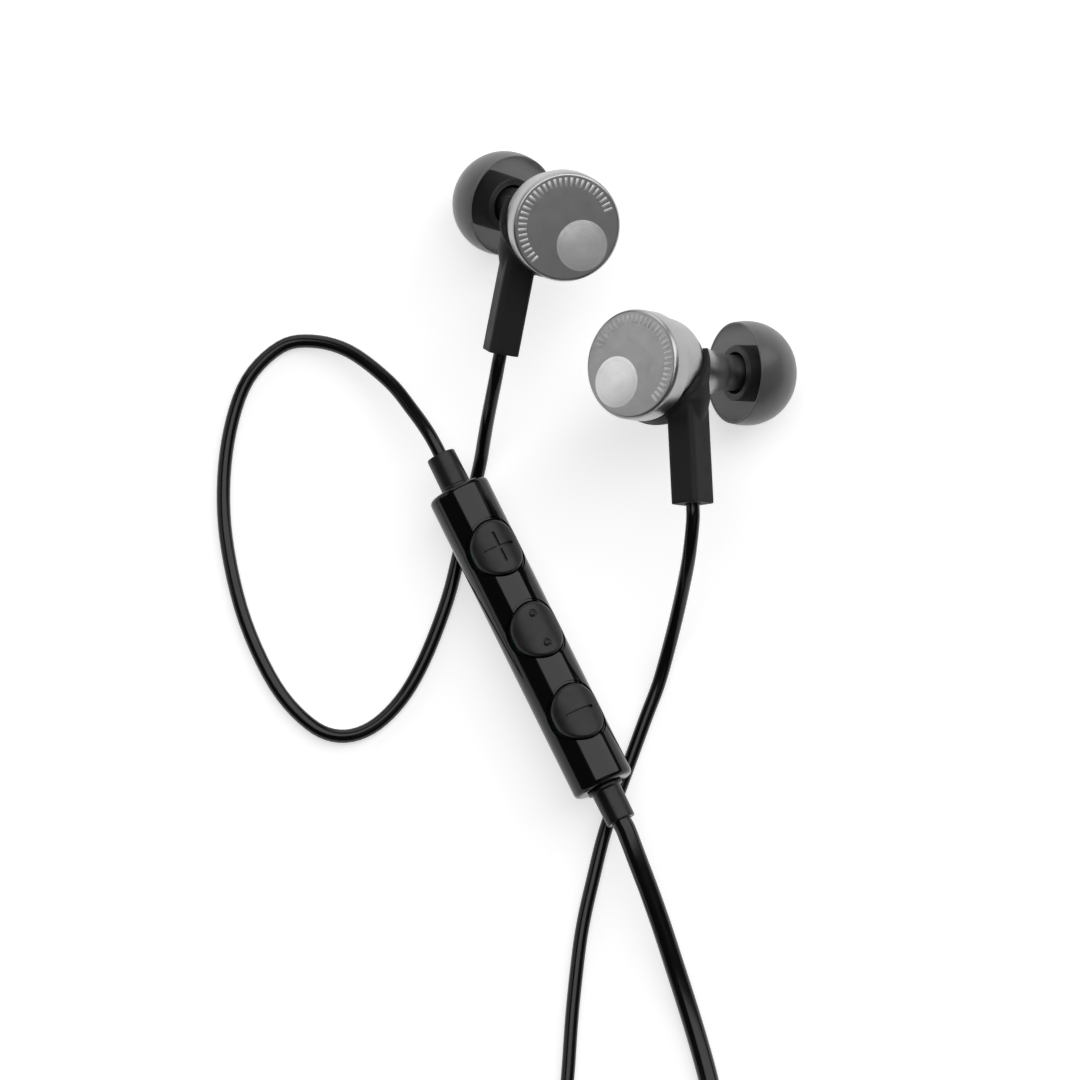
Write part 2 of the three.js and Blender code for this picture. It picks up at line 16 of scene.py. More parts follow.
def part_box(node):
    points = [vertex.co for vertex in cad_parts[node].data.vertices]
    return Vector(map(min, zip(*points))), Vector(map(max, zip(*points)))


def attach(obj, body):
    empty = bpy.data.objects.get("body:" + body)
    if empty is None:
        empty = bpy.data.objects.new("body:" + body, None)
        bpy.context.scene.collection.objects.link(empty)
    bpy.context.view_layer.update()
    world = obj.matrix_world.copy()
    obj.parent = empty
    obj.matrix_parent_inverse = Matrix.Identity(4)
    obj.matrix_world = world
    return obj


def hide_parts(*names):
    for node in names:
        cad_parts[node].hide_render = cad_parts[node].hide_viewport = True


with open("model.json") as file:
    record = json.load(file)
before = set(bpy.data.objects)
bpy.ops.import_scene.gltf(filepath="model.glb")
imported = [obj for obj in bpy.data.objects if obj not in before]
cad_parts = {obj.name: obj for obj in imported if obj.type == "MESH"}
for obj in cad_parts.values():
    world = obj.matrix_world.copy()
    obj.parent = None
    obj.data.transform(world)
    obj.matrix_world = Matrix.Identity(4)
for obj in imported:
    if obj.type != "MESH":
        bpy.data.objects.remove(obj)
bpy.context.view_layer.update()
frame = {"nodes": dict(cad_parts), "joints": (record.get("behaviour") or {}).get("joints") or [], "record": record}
MM = 0.001
UP = Vector((0, 0, 1))

# ---------- camera

VIEW_ELEVATION = math.radians(80)
VIEW_CENTRE = Vector((-8.0, -4.8, 0.0)) * MM
VIEW_WIDTH = 117.7 * MM
LENS = 600.0
SENSOR = 36.0

camera_data = bpy.data.cameras.new("camera")
camera_data.lens = LENS
camera_data.sensor_width = SENSOR
camera_data.clip_start = 0.05
camera_data.clip_end = 50.0
camera = bpy.data.objects.new("camera", camera_data)
towards_camera = Vector((0, -math.cos(VIEW_ELEVATION), math.sin(VIEW_ELEVATION)))
camera.location = VIEW_CENTRE + towards_camera * (VIEW_WIDTH * LENS / SENSOR)
camera.rotation_mode = "QUATERNION"
camera.rotation_quaternion = (-towards_camera).to_track_quat("-Z", "Y")
bpy.context.scene.collection.objects.link(camera)
bpy.context.scene.camera = camera

# ---------- frames of the sub-assemblies

JOINTS = {joint["name"]: joint for joint in frame["joints"]}
MOUNTS = {mount["name"]: mount for mount in frame["record"]["mounts"]}
NOZZLE_LEAN = math.radians(22)


def frame_matrix(origin, x_axis, y_axis, z_axis):
    matrix = Matrix((x_axis, y_axis, z_axis)).transposed().to_4x4()
    matrix.translation = origin
    return matrix


def middle(*nodes):
    """The middle of the box around some CAD nodes."""
    boxes = [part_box(node) for node in nodes]
    low = Vector(min(box[0][i] for box in boxes) for i in range(3))
    high = Vector(max(box[1][i] for box in boxes) for i in range(3))
    return (low + high) / 2


def bud_frame(side, lean):
    """Origin at the cap's face, +Z out of it, the stem along -Y. The nozzle leans towards lean * X."""
    z_axis = Vector(JOINTS[f"{side}_cone_travel"]["axis"]).normalized()
    nozzle = Vector(JOINTS[f"{side}_tip_pull"]["axis"]).normalized()
    x_axis = (nozzle + z_axis * math.cos(NOZZLE_LEAN)) / (lean * math.sin(NOZZLE_LEAN))
    x_axis.normalize()
    origin = Vector(MOUNTS[f"{side}_cap_face"]["pos_m"])
    return frame_matrix(origin, x_axis, z_axis.cross(x_axis), z_axis)


def remote_frame():
    """Origin at the middle of the remote, +Y along it to the upper boot, +Z out of the buttons."""
    z_axis = -Vector(JOINTS["centre_press"]["axis"]).normalized()
    y_axis = UP.cross(z_axis).normalized()
    origin = middle("remote_front_shell", "remote_rear_shell")
    return frame_matrix(origin, y_axis.cross(z_axis), y_axis, z_axis)


def axis_frame(origin, direction):
    """+Z along a level direction."""
    z_axis = Vector(direction).normalized()
    x_axis = UP.cross(z_axis).normalized()
    return frame_matrix(origin, x_axis, z_axis.cross(x_axis), z_axis)


BUDS = [("left", -1, bud_frame("left", -1)), ("right", 1, bud_frame("right", 1))]
REMOTE = remote_frame()
SPLITTER_DIRECTION = Vector((0.423, -0.906, 0)).normalized()  # about the way the cords run through it
SPLITTER = axis_frame(middle("splitter_core"), SPLITTER_DIRECTION)
PLUG_DIRECTION = (middle("plug_tip_contact") - middle("plug_boot")).normalized()
PLUG = axis_frame(middle("plug_boot"), PLUG_DIRECTION)

# ---------- materials

GRAIN_COLOUR_SPREAD = 0.12
BROAD_TO_FINE = 22  # the broad variation's size, in grains
CLOUD_SIZE = 1.6  # mm, the uneven patches on spun metal
CLOUD_WEAR = (-0.05, 0.07)  # what they do to its roughness


def link(material, source, target):
    material.node_tree.links.new(source, target)


def node(material, kind, **settings):
    made = material.node_tree.nodes.new(kind)
    for key, value in settings.items():
        if key in made.inputs:
            made.inputs[key].default_value = value
        else:
            setattr(made, key, value)
    return made


def new_material(name, colour, roughness, metallic=0.0, **sockets):
    material = bpy.data.materials.new(name)
    material.use_nodes = True
    shader = material.node_tree.nodes["Principled BSDF"]
    shader.inputs["Base Color"].default_value = (*colour, 1)
    shader.inputs["Roughness"].default_value = roughness
    shader.inputs["Metallic"].default_value = metallic
    for key, value in sockets.items():
        shader.inputs[key.replace("_", " ")].default_value = value
    return material


def ramp(material, source, low, high, start=0.3, end=0.7):
    """source remapped from start..end to low..high."""
    mapped = node(material, "ShaderNodeMapRange")
    mapped.inputs["From Min"].default_value = start
    mapped.inputs["From Max"].default_value = end
    mapped.inputs["To Min"].default_value = low
    mapped.inputs["To Max"].default_value = high
    link(material, source, mapped.inputs["Value"])
    return mapped.outputs["Result"]


def tint(material, source, colour, spread):
    """Base colour that varies by plus or minus a share of itself."""
    mix = node(material, "ShaderNodeMix", data_type="RGBA")
    colours = [socket for socket in mix.inputs if socket.type == "RGBA"]
    colours[0].default_value = (*[c * (1 - spread) for c in colour], 1)
    colours[1].default_value = (*[c * (1 + spread) for c in colour], 1)
    link(material, source, mix.inputs[0])
    out = next(socket for socket in mix.outputs if socket.type == "RGBA")
    link(material, out, material.node_tree.nodes["Principled BSDF"].inputs["Base Color"])


def bump(material, source, height, before=None):
    made = node(material, "ShaderNodeBump")
    made.inputs["Strength"].default_value = 1.0
    made.inputs["Distance"].default_value = height * MM
    link(material, source, made.inputs["Height"])
    if before is not None:
        link(material, before, made.inputs["Normal"])
    return made.outputs["Normal"]


def grained(name, colour, roughness, size, height, roughness_spread=0.05, metallic=0.0, **more):
    """A moulded or cast surface: fine grain of the given size in mm, and broad faint variation."""
    material = new_material(name, colour, roughness, metallic, **more)
    shader = material.node_tree.nodes["Principled BSDF"]
    coordinates = node(material, "ShaderNodeTexCoord").outputs["Object"]
    fine = node(material, "ShaderNodeTexNoise", Scale=1 / (size * MM), Detail=3.0, Roughness=0.6)
    broad = node(material, "ShaderNodeTexNoise", Scale=1 / (size * BROAD_TO_FINE * MM), Detail=4.0)
    for texture in (fine, broad):
        link(material, coordinates, texture.inputs["Vector"])
    tint(material, ramp(material, broad.outputs["Fac"], 0, 1), colour, GRAIN_COLOUR_SPREAD)
    worn = ramp(material, broad.outputs["Fac"], roughness - roughness_spread, roughness + roughness_spread)
    link(material, worn, shader.inputs["Roughness"])
    link(material, bump(material, fine.outputs["Fac"], height), shader.inputs["Normal"])
    return material


def spun(name, colour, roughness, pitch, height, colour_spread):
    """Metal turned on a lathe about its own Z axis: fine rings of uneven depth."""
    material = new_material(name, colour, roughness, 1.0)
    shader = material.node_tree.nodes["Principled BSDF"]
    coordinates = node(material, "ShaderNodeTexCoord").outputs["Object"]
    flat = node(material, "ShaderNodeVectorMath", operation="MULTIPLY")
    flat.inputs[1].default_value = (1, 1, 0)
    link(material, coordinates, flat.inputs[0])
    radius = node(material, "ShaderNodeVectorMath", operation="LENGTH")
    link(material, flat.outputs["Vector"], radius.inputs[0])
    height_along = node(material, "ShaderNodeSeparateXYZ")
    link(material, coordinates, height_along.inputs[0])
    across = node(material, "ShaderNodeMath", operation="ADD")
    link(material, radius.outputs["Value"], across.inputs[0])
    link(material, height_along.outputs["Z"], across.inputs[1])
    rings = node(material, "ShaderNodeTexNoise", noise_dimensions="1D", Scale=1 / (pitch * MM), Detail=4.0)
    link(material, across.outputs["Value"], rings.inputs["W"])
    cloud = node(material, "ShaderNodeTexNoise", Scale=1 / (CLOUD_SIZE * MM), Detail=5.0, Roughness=0.65)
    link(material, coordinates, cloud.inputs["Vector"])
    tint(material, ramp(material, rings.outputs["Fac"], 0, 1), colour, colour_spread)
    worn = ramp(material, cloud.outputs["Fac"], roughness + CLOUD_WEAR[0], roughness + CLOUD_WEAR[1])
    link(material, worn, shader.inputs["Roughness"])
    link(material, bump(material, rings.outputs["Fac"], height), shader.inputs["Normal"])
    return material


# name, colour, roughness, pitch of rings or size of grains in mm, their height in mm
LOOKS = {
    "spun_metal": spun("spun_metal", (0.42, 0.42, 0.425), 0.32, 0.10, 0.003, 0.06),
    # near-white face spot: partly a bright inlay, partly a painted highlight on the cap's face
    "spot_metal_with_painted_highlight": spun("spot_metal_with_painted_highlight", (0.96, 0.96, 0.965), 0.33, 0.07, 0.006, 0.12),
    "mark_metal": grained("mark_metal", (0.72, 0.72, 0.725), 0.52, 0.05, 0.003, metallic=1.0),
    "dark_metal": grained("dark_metal", (0.14, 0.14, 0.145), 0.42, 0.06, 0.006, metallic=1.0),
    "nickel": grained("nickel", (0.55, 0.55, 0.56), 0.28, 0.08, 0.003, metallic=1.0),
    "copper": grained("copper", (0.55, 0.25, 0.12), 0.35, 0.05, 0.006, metallic=1.0),
    "gold": spun("gold", (0.80, 0.58, 0.24), 0.20, 0.12, 0.002, 0.06),
    "gloss_black": grained(
        "gloss_black", (0.0022, 0.0022, 0.0024), 0.10, 0.9, 0.0006, roughness_spread=0.02, IOR=1.38
    ),
    "satin_black": grained("satin_black", (0.0115, 0.0115, 0.012), 0.40, 0.05, 0.005, IOR=1.38),
    "boot_black": grained("boot_black", (0.0060, 0.0060, 0.0064), 0.33, 0.08, 0.002, IOR=1.38),
    "soft_black": grained("soft_black", (0.0110, 0.0110, 0.0115), 0.60, 0.06, 0.006, IOR=1.33),
    "cable_black": grained(
        "cable_black", (0.0030, 0.0030, 0.0033), 0.17, 0.10, 0.002, roughness_spread=0.03, IOR=1.38
    ),
    "silicone": grained(
        "silicone", (0.27, 0.27, 0.275), 0.33, 0.7, 0.0006, IOR=1.41, Transmission_Weight=0.70
    ),
    "silicone_core": grained("silicone_core", (0.020, 0.020, 0.021), 0.42, 0.10, 0.003, IOR=1.41),
    "circuit_board": grained("circuit_board", (0.02, 0.11, 0.05), 0.4, 0.25, 0.01),
    "film": grained("film", (0.6, 0.57, 0.5), 0.35, 0.15, 0.004),
    "insulator": grained("insulator", (0.006, 0.006, 0.006), 0.35, 0.05, 0.002),
}

NODE_SLOTS = {row["node"]: row["material_slot"] for row in frame["record"]["subparts"]}
for name, obj in frame["nodes"].items():
    obj.data.materials.clear()
    obj.data.materials.append(LOOKS[NODE_SLOTS[name]])

# ---------- making and placing pieces

ON_AXIS = 1e-6  # a smaller radius than this is a point on the axis


def shape(name, points, faces):
    """A mesh object in millimetres, at the origin, with its faces looking outwards."""
    mesh = bpy.data.meshes.new(name)
    mesh.from_pydata([tuple(point) for point in points], [], faces)
    working = bmesh.new()
    working.from_mesh(mesh)
    bmesh.ops.recalc_face_normals(working, faces=working.faces)
    working.to_mesh(mesh)
    working.free()
    obj = bpy.data.objects.new(name, mesh)
    bpy.context.scene.collection.objects.link(obj)
    return obj


def place(obj, matrix, look, body, *nodes, slot=None, sharp=38):
    """Turns a shape's millimetres into metres in its frame, gives it its looks and body, and hides the CAD nodes
    that it stands for.

    Edges that turn by more than sharp degrees stay crisp.
    """
    obj.data.transform(Matrix.Scale(MM, 4))
    obj.data.shade_smooth()
    obj.data.set_sharp_from_angle(angle=math.radians(sharp))
    obj.data.materials.clear()
    obj.data.materials.append(LOOKS[look])
    obj.matrix_world = matrix
    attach(obj, body)
    if nodes:
        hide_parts(*nodes)
    return obj


def filleted(corners, loop=False, arc=6):
    """(radius, z, fillet) corners as (radius, z) points, with each fillet as a short smooth curve."""
    points = []
    count = len(corners)
    for i, (radius, z, fillet) in enumerate(corners):
        here = Vector((radius, z))
        at_end = not loop and i in (0, count - 1)
        if fillet <= 0 or at_end:
            points.append(here)
            continue
        before = (Vector(corners[i - 1][:2]) - here).normalized() * fillet
        after = (Vector(corners[(i + 1) % count][:2]) - here).normalized() * fillet
        for step in range(arc + 1):
            t = step / arc
            points.append(here + before * (1 - t) ** 2 + after * t**2)
    return [(point.x, point.y) for point in points]


def smooth_through(points, steps=6):
    """More points on the Catmull-Rom curve through some points of any dimension."""
    points = np.array(points, float)
    ends = [2 * points[0] - points[1], *points, 2 * points[-1] - points[-2]]
    out = []
    for a, b, c, d in zip(ends, ends[1:], ends[2:], ends[3:]):
        for step in range(steps):
            t = step / steps
            slope = (c - a) * t
            curve = (2 * a - 5 * b + 4 * c - d) * t**2
            twist = (3 * b - a - 3 * c + d) * t**3
            out.append(0.5 * (2 * b + slope + curve + twist))
    out.append(points[-1])
    return out


def rings_mesh(name, rings, loop):
    """A closed mesh from rings of points; a ring of one point is a pole."""
    points = []
    rows = []
    for ring in rings:
        rows.append(range(len(points), len(points) + len(ring)))
        points.extend(ring)
    pairs = list(zip(rows, rows[1:]))
    if loop:
        pairs.append((rows[-1], rows[0]))
    faces = []
    for low, high in pairs:
        sides = max(len(low), len(high))
        for i in range(sides):
            j = (i + 1) % sides
            corners = [low[i % len(low)], low[j % len(low)], high[j % len(high)], high[i % len(high)]]
            faces.append([corner for k, corner in enumerate(corners) if corner not in corners[:k]])
    return shape(name, points, faces)


def capped(obj, size):
    """Closes the two ends of a rings_mesh whose first and last rings have this many points."""
    working = bmesh.new()
    working.from_mesh(obj.data)
    working.verts.ensure_lookup_table()
    corners = list(working.verts)
    working.faces.new(corners[:size])
    working.faces.new(corners[-size:])
    bmesh.ops.recalc_face_normals(working, faces=working.faces)
    working.to_mesh(obj.data)
    working.free()
    return obj


def turned(name, profile, sides=96):
    """A round solid about Z from (radius, z) points. It closes on the axis or on itself."""
    loop = profile[0][0] > ON_AXIS
    rings = []
    for radius, z in profile:
        if radius < ON_AXIS:
            rings.append([(0, 0, z)])
            continue
        angles = [2 * math.pi * side / sides for side in range(sides)]
        rings.append([(radius * math.cos(a), radius * math.sin(a), z) for a in angles])
    return rings_mesh(name, rings, loop)


def prism(name, outline, low, high):
    """A closed outline of (x, y) points, from z low to z high."""
    count = len(outline)
    points = [(x, y, low) for x, y in outline] + [(x, y, high) for x, y in outline]
    faces = [list(range(count)), list(range(count, 2 * count))]
    faces += [[i, (i + 1) % count, count + (i + 1) % count, count + i] for i in range(count)]
    return shape(name, points, faces)


def rounded_outline(width, height, radius, arc=10):
    """A rectangle with round corners, centred."""
    points = []
    for quarter in range(4):
        x = (width / 2 - radius) * (1 if quarter in (0, 3) else -1)
        y = (height / 2 - radius) * (1 if quarter < 2 else -1)
        for step in range(arc + 1):
            angle = math.pi / 2 * (quarter + step / arc)
            points.append((x + radius * math.cos(angle), y + radius * math.sin(angle)))
    return points


def applied(obj):
    """The object with its modifiers made real."""
    evaluated = obj.evaluated_get(bpy.context.evaluated_depsgraph_get())
    mesh = bpy.data.meshes.new_from_object(evaluated)
    obj.modifiers.clear()
    obj.data = mesh
    return obj


def combined(obj, other, operation):
    """Joins, cuts or intersects two shapes. The second one is used up."""
    modifier = obj.modifiers.new(operation, "BOOLEAN")
    modifier.operation = operation
    modifier.solver = "EXACT"
    modifier.object = other
    applied(obj)
    bpy.data.objects.remove(other)
    return obj


def moulded(obj, voxel, passes):
    """The shape with soft edges, as rubber comes out of a mould."""
    remesh = obj.modifiers.new("remesh", "REMESH")
    remesh.mode = "VOXEL"
    remesh.voxel_size = voxel
    relax = obj.modifiers.new("relax", "SMOOTH")
    relax.factor = 0.5
    relax.iterations = passes
    return applied(obj)


def box_shape(name, low, high):
    """A box between two corners."""
    outline = [(low[0], low[1]), (high[0], low[1]), (high[0], high[1]), (low[0], high[1])]
    return prism(name, outline, low[2], high[2])


def turn_mesh(obj, angle, axis):
    obj.data.transform(Matrix.Rotation(angle, 4, axis))
    return obj


def shift_mesh(obj, x, y, z):
    obj.data.transform(Matrix.Translation((x, y, z)))
    return obj


# ---------- cords

BUD_CABLE = 1.5 * MM
LEAD = 2.2 * MM
MAIN_CABLE = 2.2 * MM
TUCKED_IN = 0.9 * MM  # how far a cord's end goes into the piece that holds it
CORD_STEPS = 5  # points on the curve for each point of the route

LEFT_UPPER_ROUTE = [
    (-0.01233, 0.01343, 0.01227),
    (-0.0125, 0.0126, 0.0120),
    (-0.0128, 0.0111, 0.0111),
    (-0.0132, 0.0094, 0.0094),
    (-0.0137, 0.0073, 0.0069),
    (-0.0141, 0.0054, 0.0045),
    (-0.0145, 0.0034, 0.0025),
    (-0.0152, 0.0005, 0.0011),
    (-0.0166, -0.0055, 0.0008),
    (-0.0181, -0.0116, 0.0008),
    (-0.0206, -0.0182, 0.0008),
    (-0.0232, -0.0227, 0.0008),
    (-0.0264, -0.0257, 0.0008),
    (-0.0298, -0.0266, 0.0008),
    (-0.0331, -0.0252, 0.0008),
    (-0.0368, -0.0210, 0.0008),
    (-0.0401, -0.0139, 0.0008),
    (-0.0420, -0.0061, 0.0008),
    (-0.0425, 0.0006, 0.0008),
    (-0.0418, 0.0072, 0.0008),
    (-0.0399, 0.0128, 0.0008),
    (-0.0364, 0.0164, 0.0008),
    (-0.0329, 0.0170, 0.0013),
    (-0.0288, 0.0157, 0.0022),
    (-0.0245, 0.01215, 0.0035),
    (-0.02185, 0.0087, 0.0045),
    (-0.0203, 0.0064, 0.00505),
    (-0.0194, 0.0048, 0.00525),
    (-0.01895, 0.0039, 0.00525),
]
LEFT_LOWER_ROUTE = [
    (0.00095, -0.0369, 0.00525),
    (0.0014, -0.0378, 0.0052),
    (0.0025, -0.0407, 0.0048),
    (0.0039, -0.0443, 0.0040),
    (0.0052, -0.0479, 0.0031),
    (0.0065, -0.0518, 0.0022),
    (0.0079, -0.0561, 0.0015),
    (0.0092, -0.0604, 0.00115),
    (0.0104, -0.0650, 0.0011),
    (0.0110, -0.0690, 0.0015),
    (0.0106, -0.0735, 0.0030),
    (0.0088, -0.0780, 0.0055),
    (0.0058, -0.0818, 0.0073),
    (0.0022, -0.0856, 0.0077),
    (-0.0014, -0.0904, 0.0079),
    (-0.0040, -0.0960, 0.0084),
    (-0.0059, -0.0996, 0.0088),
    (-0.0062, -0.1019, 0.0090),
    (-0.0056, -0.1031, 0.0090),
]
RIGHT_ROUTE = [
    (0.00854, -0.00353, 0.01418),
    (0.00855, -0.0050, 0.0139),
    (0.0083, -0.0075, 0.0126),
    (0.0079, -0.0099, 0.0104),
    (0.0070, -0.0136, 0.0060),
    (0.0060, -0.0172, 0.0027),
    (0.0049, -0.0209, 0.0011),
    (0.0035, -0.0246, 0.0008),
    (0.0013, -0.0307, 0.0008),
    (-0.0009, -0.0370, 0.0008),
    (-0.0023, -0.0426, 0.0008),
    (-0.0032, -0.0466, 0.0008),
    (-0.0038, -0.0504, 0.0008),
    (-0.0045, -0.0570, 0.0008),
    (-0.0050, -0.0640, 0.0008),
    (-0.0056, -0.0700, 0.0009),
    (-0.0066, -0.0750, 0.0020),
    (-0.0079, -0.0800, 0.0039),
    (-0.0093, -0.0846, 0.0051),
    (-0.0103, -0.0880, 0.0057),
    (-0.0107, -0.0904, 0.0058),
]
RIGHT_END_ROUTE = [
    (-0.0067, -0.0966, 0.0075),
    (-0.0080, -0.0996, 0.0084),
    (-0.0083, -0.1026, 0.0090),
    (-0.0077, -0.1040, 0.0090),
]
MAIN_START_ROUTE = [
    (0.0008, -0.1195, 0.0090),
    (0.0023, -0.1226, 0.0086),
    (0.0046, -0.1256, 0.0072),
    (0.0082, -0.1273, 0.0052),
    (0.0125, -0.1272, 0.0032),
    (0.0168, -0.1249, 0.0018),
    (0.0210, -0.1206, 0.0012),
    (0.0247, -0.1155, 0.0011),
]
MAIN_END_ROUTE = [
    (-0.0136, -0.1125, 0.0034),
    (-0.0126, -0.1180, 0.0031),
    (-0.0104, -0.1225, 0.0028),
    (-0.0073, -0.1258, 0.0027),
]

COIL_LOW, COIL_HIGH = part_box("cable_coil")
COIL_CENTRE = Vector(((COIL_LOW.x + COIL_HIGH.x) / 2, (COIL_LOW.y + COIL_HIGH.y) / 2, 0))
TIE_ANGLE = 20.0  # degrees
TIE_RISE = 0.55  # mm that the turns rise over the tie
TIE_SPREAD = 11.0  # degrees from the tie, where about a third of that rise is left
TURN_STEP = 12.0  # degrees between points of a turn


def wound(angles, radii, heights):
    """Points of a spiral round the coil's middle. The angles are degrees, the rest millimetres."""
    count = max(2, round((angles[1] - angles[0]) / TURN_STEP))
    points = []
    for step in range(count + 1):
        t = step / count
        angle = angles[0] + (angles[1] - angles[0]) * t
        radius = radii[0] + (radii[1] - radii[0]) * t
        eased = t * t * (3 - 2 * t)
        height = heights[0] + (heights[1] - heights[0]) * eased
        from_tie = (angle - TIE_ANGLE + 180) % 360 - 180
        height += TIE_RISE * math.exp(-((from_tie / TIE_SPREAD) ** 2))
        turn = math.radians(angle)
        offset = Vector((radius * math.cos(turn), radius * math.sin(turn), height)) * MM
        points.append(COIL_CENTRE + offset)
    return points


MAIN_COIL = [
    *wound((334, 2130), (20.6, 8.8), (1.1, 1.1)),
    *wound((2130, 2220), (8.8, 8.9), (1.1, 3.4))[1:],
    *wound((2220, 3790), (8.9, 18.8), (3.4, 3.4))[1:],
]
RIGHT_COIL = [
    *wound((176, 846), (18.15, 14.9), (5.45, 5.45)),
    *wound((846, 872), (14.9, 14.75), (5.45, 7.1))[1:],
]


def tucked(route):
    """The route with its ends carried a little into the pieces that hold them."""
    points = [Vector(point) for point in route]
    start = points[0] + (points[0] - points[1]).normalized() * TUCKED_IN
    end = points[-1] + (points[-1] - points[-2]).normalized() * TUCKED_IN
    return [start, *points, end]


def cord(name, route, diameter, far_end, lay, nodes):
    """A cord along a smooth curve through its route, as a curve object with round section."""
    line = smooth_through([tuple(point) for point in route], CORD_STEPS)
    curve = bpy.data.curves.new(name, "CURVE")
    curve.dimensions = "3D"
    curve.bevel_depth = diameter / 2
    curve.bevel_resolution = 5
    curve.use_fill_caps = True
    spline = curve.splines.new("POLY")
    spline.points.add(len(line) - 1)
    for point, place_on_line in zip(spline.points, line):
        point.co = (*place_on_line, 1)
    spline.use_smooth = True
    obj = bpy.data.objects.new(name, curve)
    bpy.context.scene.collection.objects.link(obj)
    curve.materials.append(LOOKS["cable_black"])
    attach(obj, "root")
    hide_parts(*nodes)
    length = sum(float(np.linalg.norm(b - a)) for a, b in zip(line, line[1:]))
    return {
        "piece": obj,
        "exit": tuple(route[0]),
        "length": length,
        "diameter": diameter,
        "far_end": far_end,
        "lay": lay,
    }


CORDS = [
    cord("left_bud_cord", tucked(LEFT_UPPER_ROUTE), BUD_CABLE, "object", "loose", ["left_upper_cable"]),
    cord("left_lead_cord", tucked(LEFT_LOWER_ROUTE), LEAD, "fitting", "loose", ["left_lower_cable"]),
    cord(
        "right_bud_cord",
        tucked([*RIGHT_ROUTE, *RIGHT_COIL, *RIGHT_END_ROUTE[1:]]),
        BUD_CABLE,
        "fitting",
        "coiled",
        ["right_cable", "right_cable_end"],
    ),
    cord(
        "main_cord",
        tucked([*MAIN_START_ROUTE, *MAIN_COIL, *MAIN_END_ROUTE]),
        MAIN_CABLE,
        "plug",
        "coiled",
        ["main_cable_start", "main_cable_end", "cable_coil"],
    ),
]

# ---------- ear buds

CAP_RADIUS = 6.0
CAP_DEPTH = 2.6
CAP_BORE = 5.25
CAP_FACE = 0.8  # thickness of the face
BEND_DEPTH = 9.4  # below the cap's face, where the housing's and nozzle's axes meet
NOZZLE_LENGTH = 12.0  # from there to its mouth
TIP_START = 6.9  # from there to the ear tip's open end
STEM_DEPTH = 5.7  # of the stem's axis below the cap's face
STEM_SHIFT = 3.2  # of the stem's axis, towards the side that the nozzle leans to
STEM_WIDTH = 3.4
STEM_THICKNESS = 3.9
STEM_END = 15.1
STEM_VOXEL = 0.11
STEM_SMOOTHING = 7
SADDLE_THICKNESS = 0.72
SADDLE_GAP = 0.08  # between the saddle and the housing
FLARE_SQUEEZE = 0.86
# The face spot, whose near-white colour is partly a painted highlight:
SPOT_RADIUS = 2.8
SPOT_ACROSS = 2.05  # from the cap's middle, away from the side that the nozzle leans to
SPOT_DOWN = 1.7  # from the cap's middle, towards the stem
SPOT_RISE = 0.13
SPOT_DEPTH = 0.3
MARK_COUNT = 30
MARK_STEP = 7.0  # degrees
MARK_TURN = math.radians(12) + 0.55  # of the row's middle, from the top to the nozzle's side
MARK_INNER = 4.45
MARK_OUTER = 5.4
MARK_WIDTH = 0.3
MARK_LAYERS = ((-0.1, 0.0), (0.015, 0.0), (0.03, 0.03))  # height over the face, inset of the outline
SCREEN_RADIUS = 1.28
SCREEN_PITCH = 0.2
SCREEN_DEPTH = 0.55  # inside the nozzle's mouth
WIRE_RADIUS = 0.05
WIRE_WAVE = 0.045
WIRE_STEPS = 24
WIRE_SIDES = 6

BEND_TANGENT = 1.5  # from where the axes meet to either end of the bend
BEND_RADIUS = BEND_TANGENT / math.tan(NOZZLE_LEAN / 2)
BEND_LENGTH = BEND_RADIUS * NOZZLE_LEAN


def along_axis(distance, lean):
    """The housing's middle line, which bends into the nozzle: a point and the tilt there."""
    straight = BEND_DEPTH - BEND_TANGENT
    if distance <= straight:
        return Vector((0, 0, -distance)), 0.0
    tilt = min((distance - straight) / BEND_RADIUS, NOZZLE_LEAN)
    side = BEND_RADIUS * (1 - math.cos(tilt))
    down = straight + BEND_RADIUS * math.sin(tilt)
    beyond = max(0.0, distance - straight - BEND_LENGTH)
    return Vector((lean * (side + beyond * math.sin(tilt)), 0, -down - beyond * math.cos(tilt))), tilt


def swept(name, stations, lean, sides=96):
    """A closed solid from (distance along the housing's middle line, radius) stations."""
    rings = []
    for distance, radius in stations:
        centre, tilt = along_axis(distance, lean)
        across = Vector((math.cos(tilt), 0, lean * math.sin(tilt)))
        ring = []
        for side in range(sides):
            angle = 2 * math.pi * side / sides
            along = Vector((0, radius * math.sin(angle), 0))
            ring.append(tuple(centre + across * (radius * math.cos(angle)) + along))
        rings.append(ring)
    return rings_mesh(name, rings, True)


def distance_past_bend(nozzle_distance):
    """Distance along the middle line of a point on the nozzle's axis."""
    return BEND_DEPTH - BEND_TANGENT + BEND_LENGTH + nozzle_distance - BEND_TANGENT


HOUSING_CURVE = [  # distance along the middle line, radius
    (5.0, 5.54),
    (5.9, 5.42),
    (7.0, 4.9),
    (8.0, 4.2),
    (9.0, 3.5),
    (10.0, 3.02),
    (11.2, 2.72),
    (12.6, 2.52),
    (13.8, 2.2),
    (14.6, 1.95),
]


def housing(side, lean, matrix):
    """A hollow shell from the cap to the nozzle's mouth, with a lip there for the ear tip."""
    end = distance_past_bend(NOZZLE_LENGTH)
    outer = [(2.85, 4.9), (2.85, 5.42), (2.95, 5.52)]
    outer += [tuple(point) for point in smooth_through(HOUSING_CURVE)]
    outer += [(end - 1.7, 1.9), (end - 1.5, 1.98), (end - 1.2, 2.18), (end - 0.9, 2.2), (end - 0.4, 1.95)]
    outer += [(end - 0.1, 1.82), (end, 1.72)]
    inner = [(end, 1.42), (end - 0.15, 1.32), (10.4, 1.32), (9.4, 2.1), (6.6, 3.9), (5.0, 4.6)]
    obj = swept(f"{side}_metal_housing", outer + inner, lean)
    place(obj, matrix, "spun_metal", "root", f"{side}_housing")


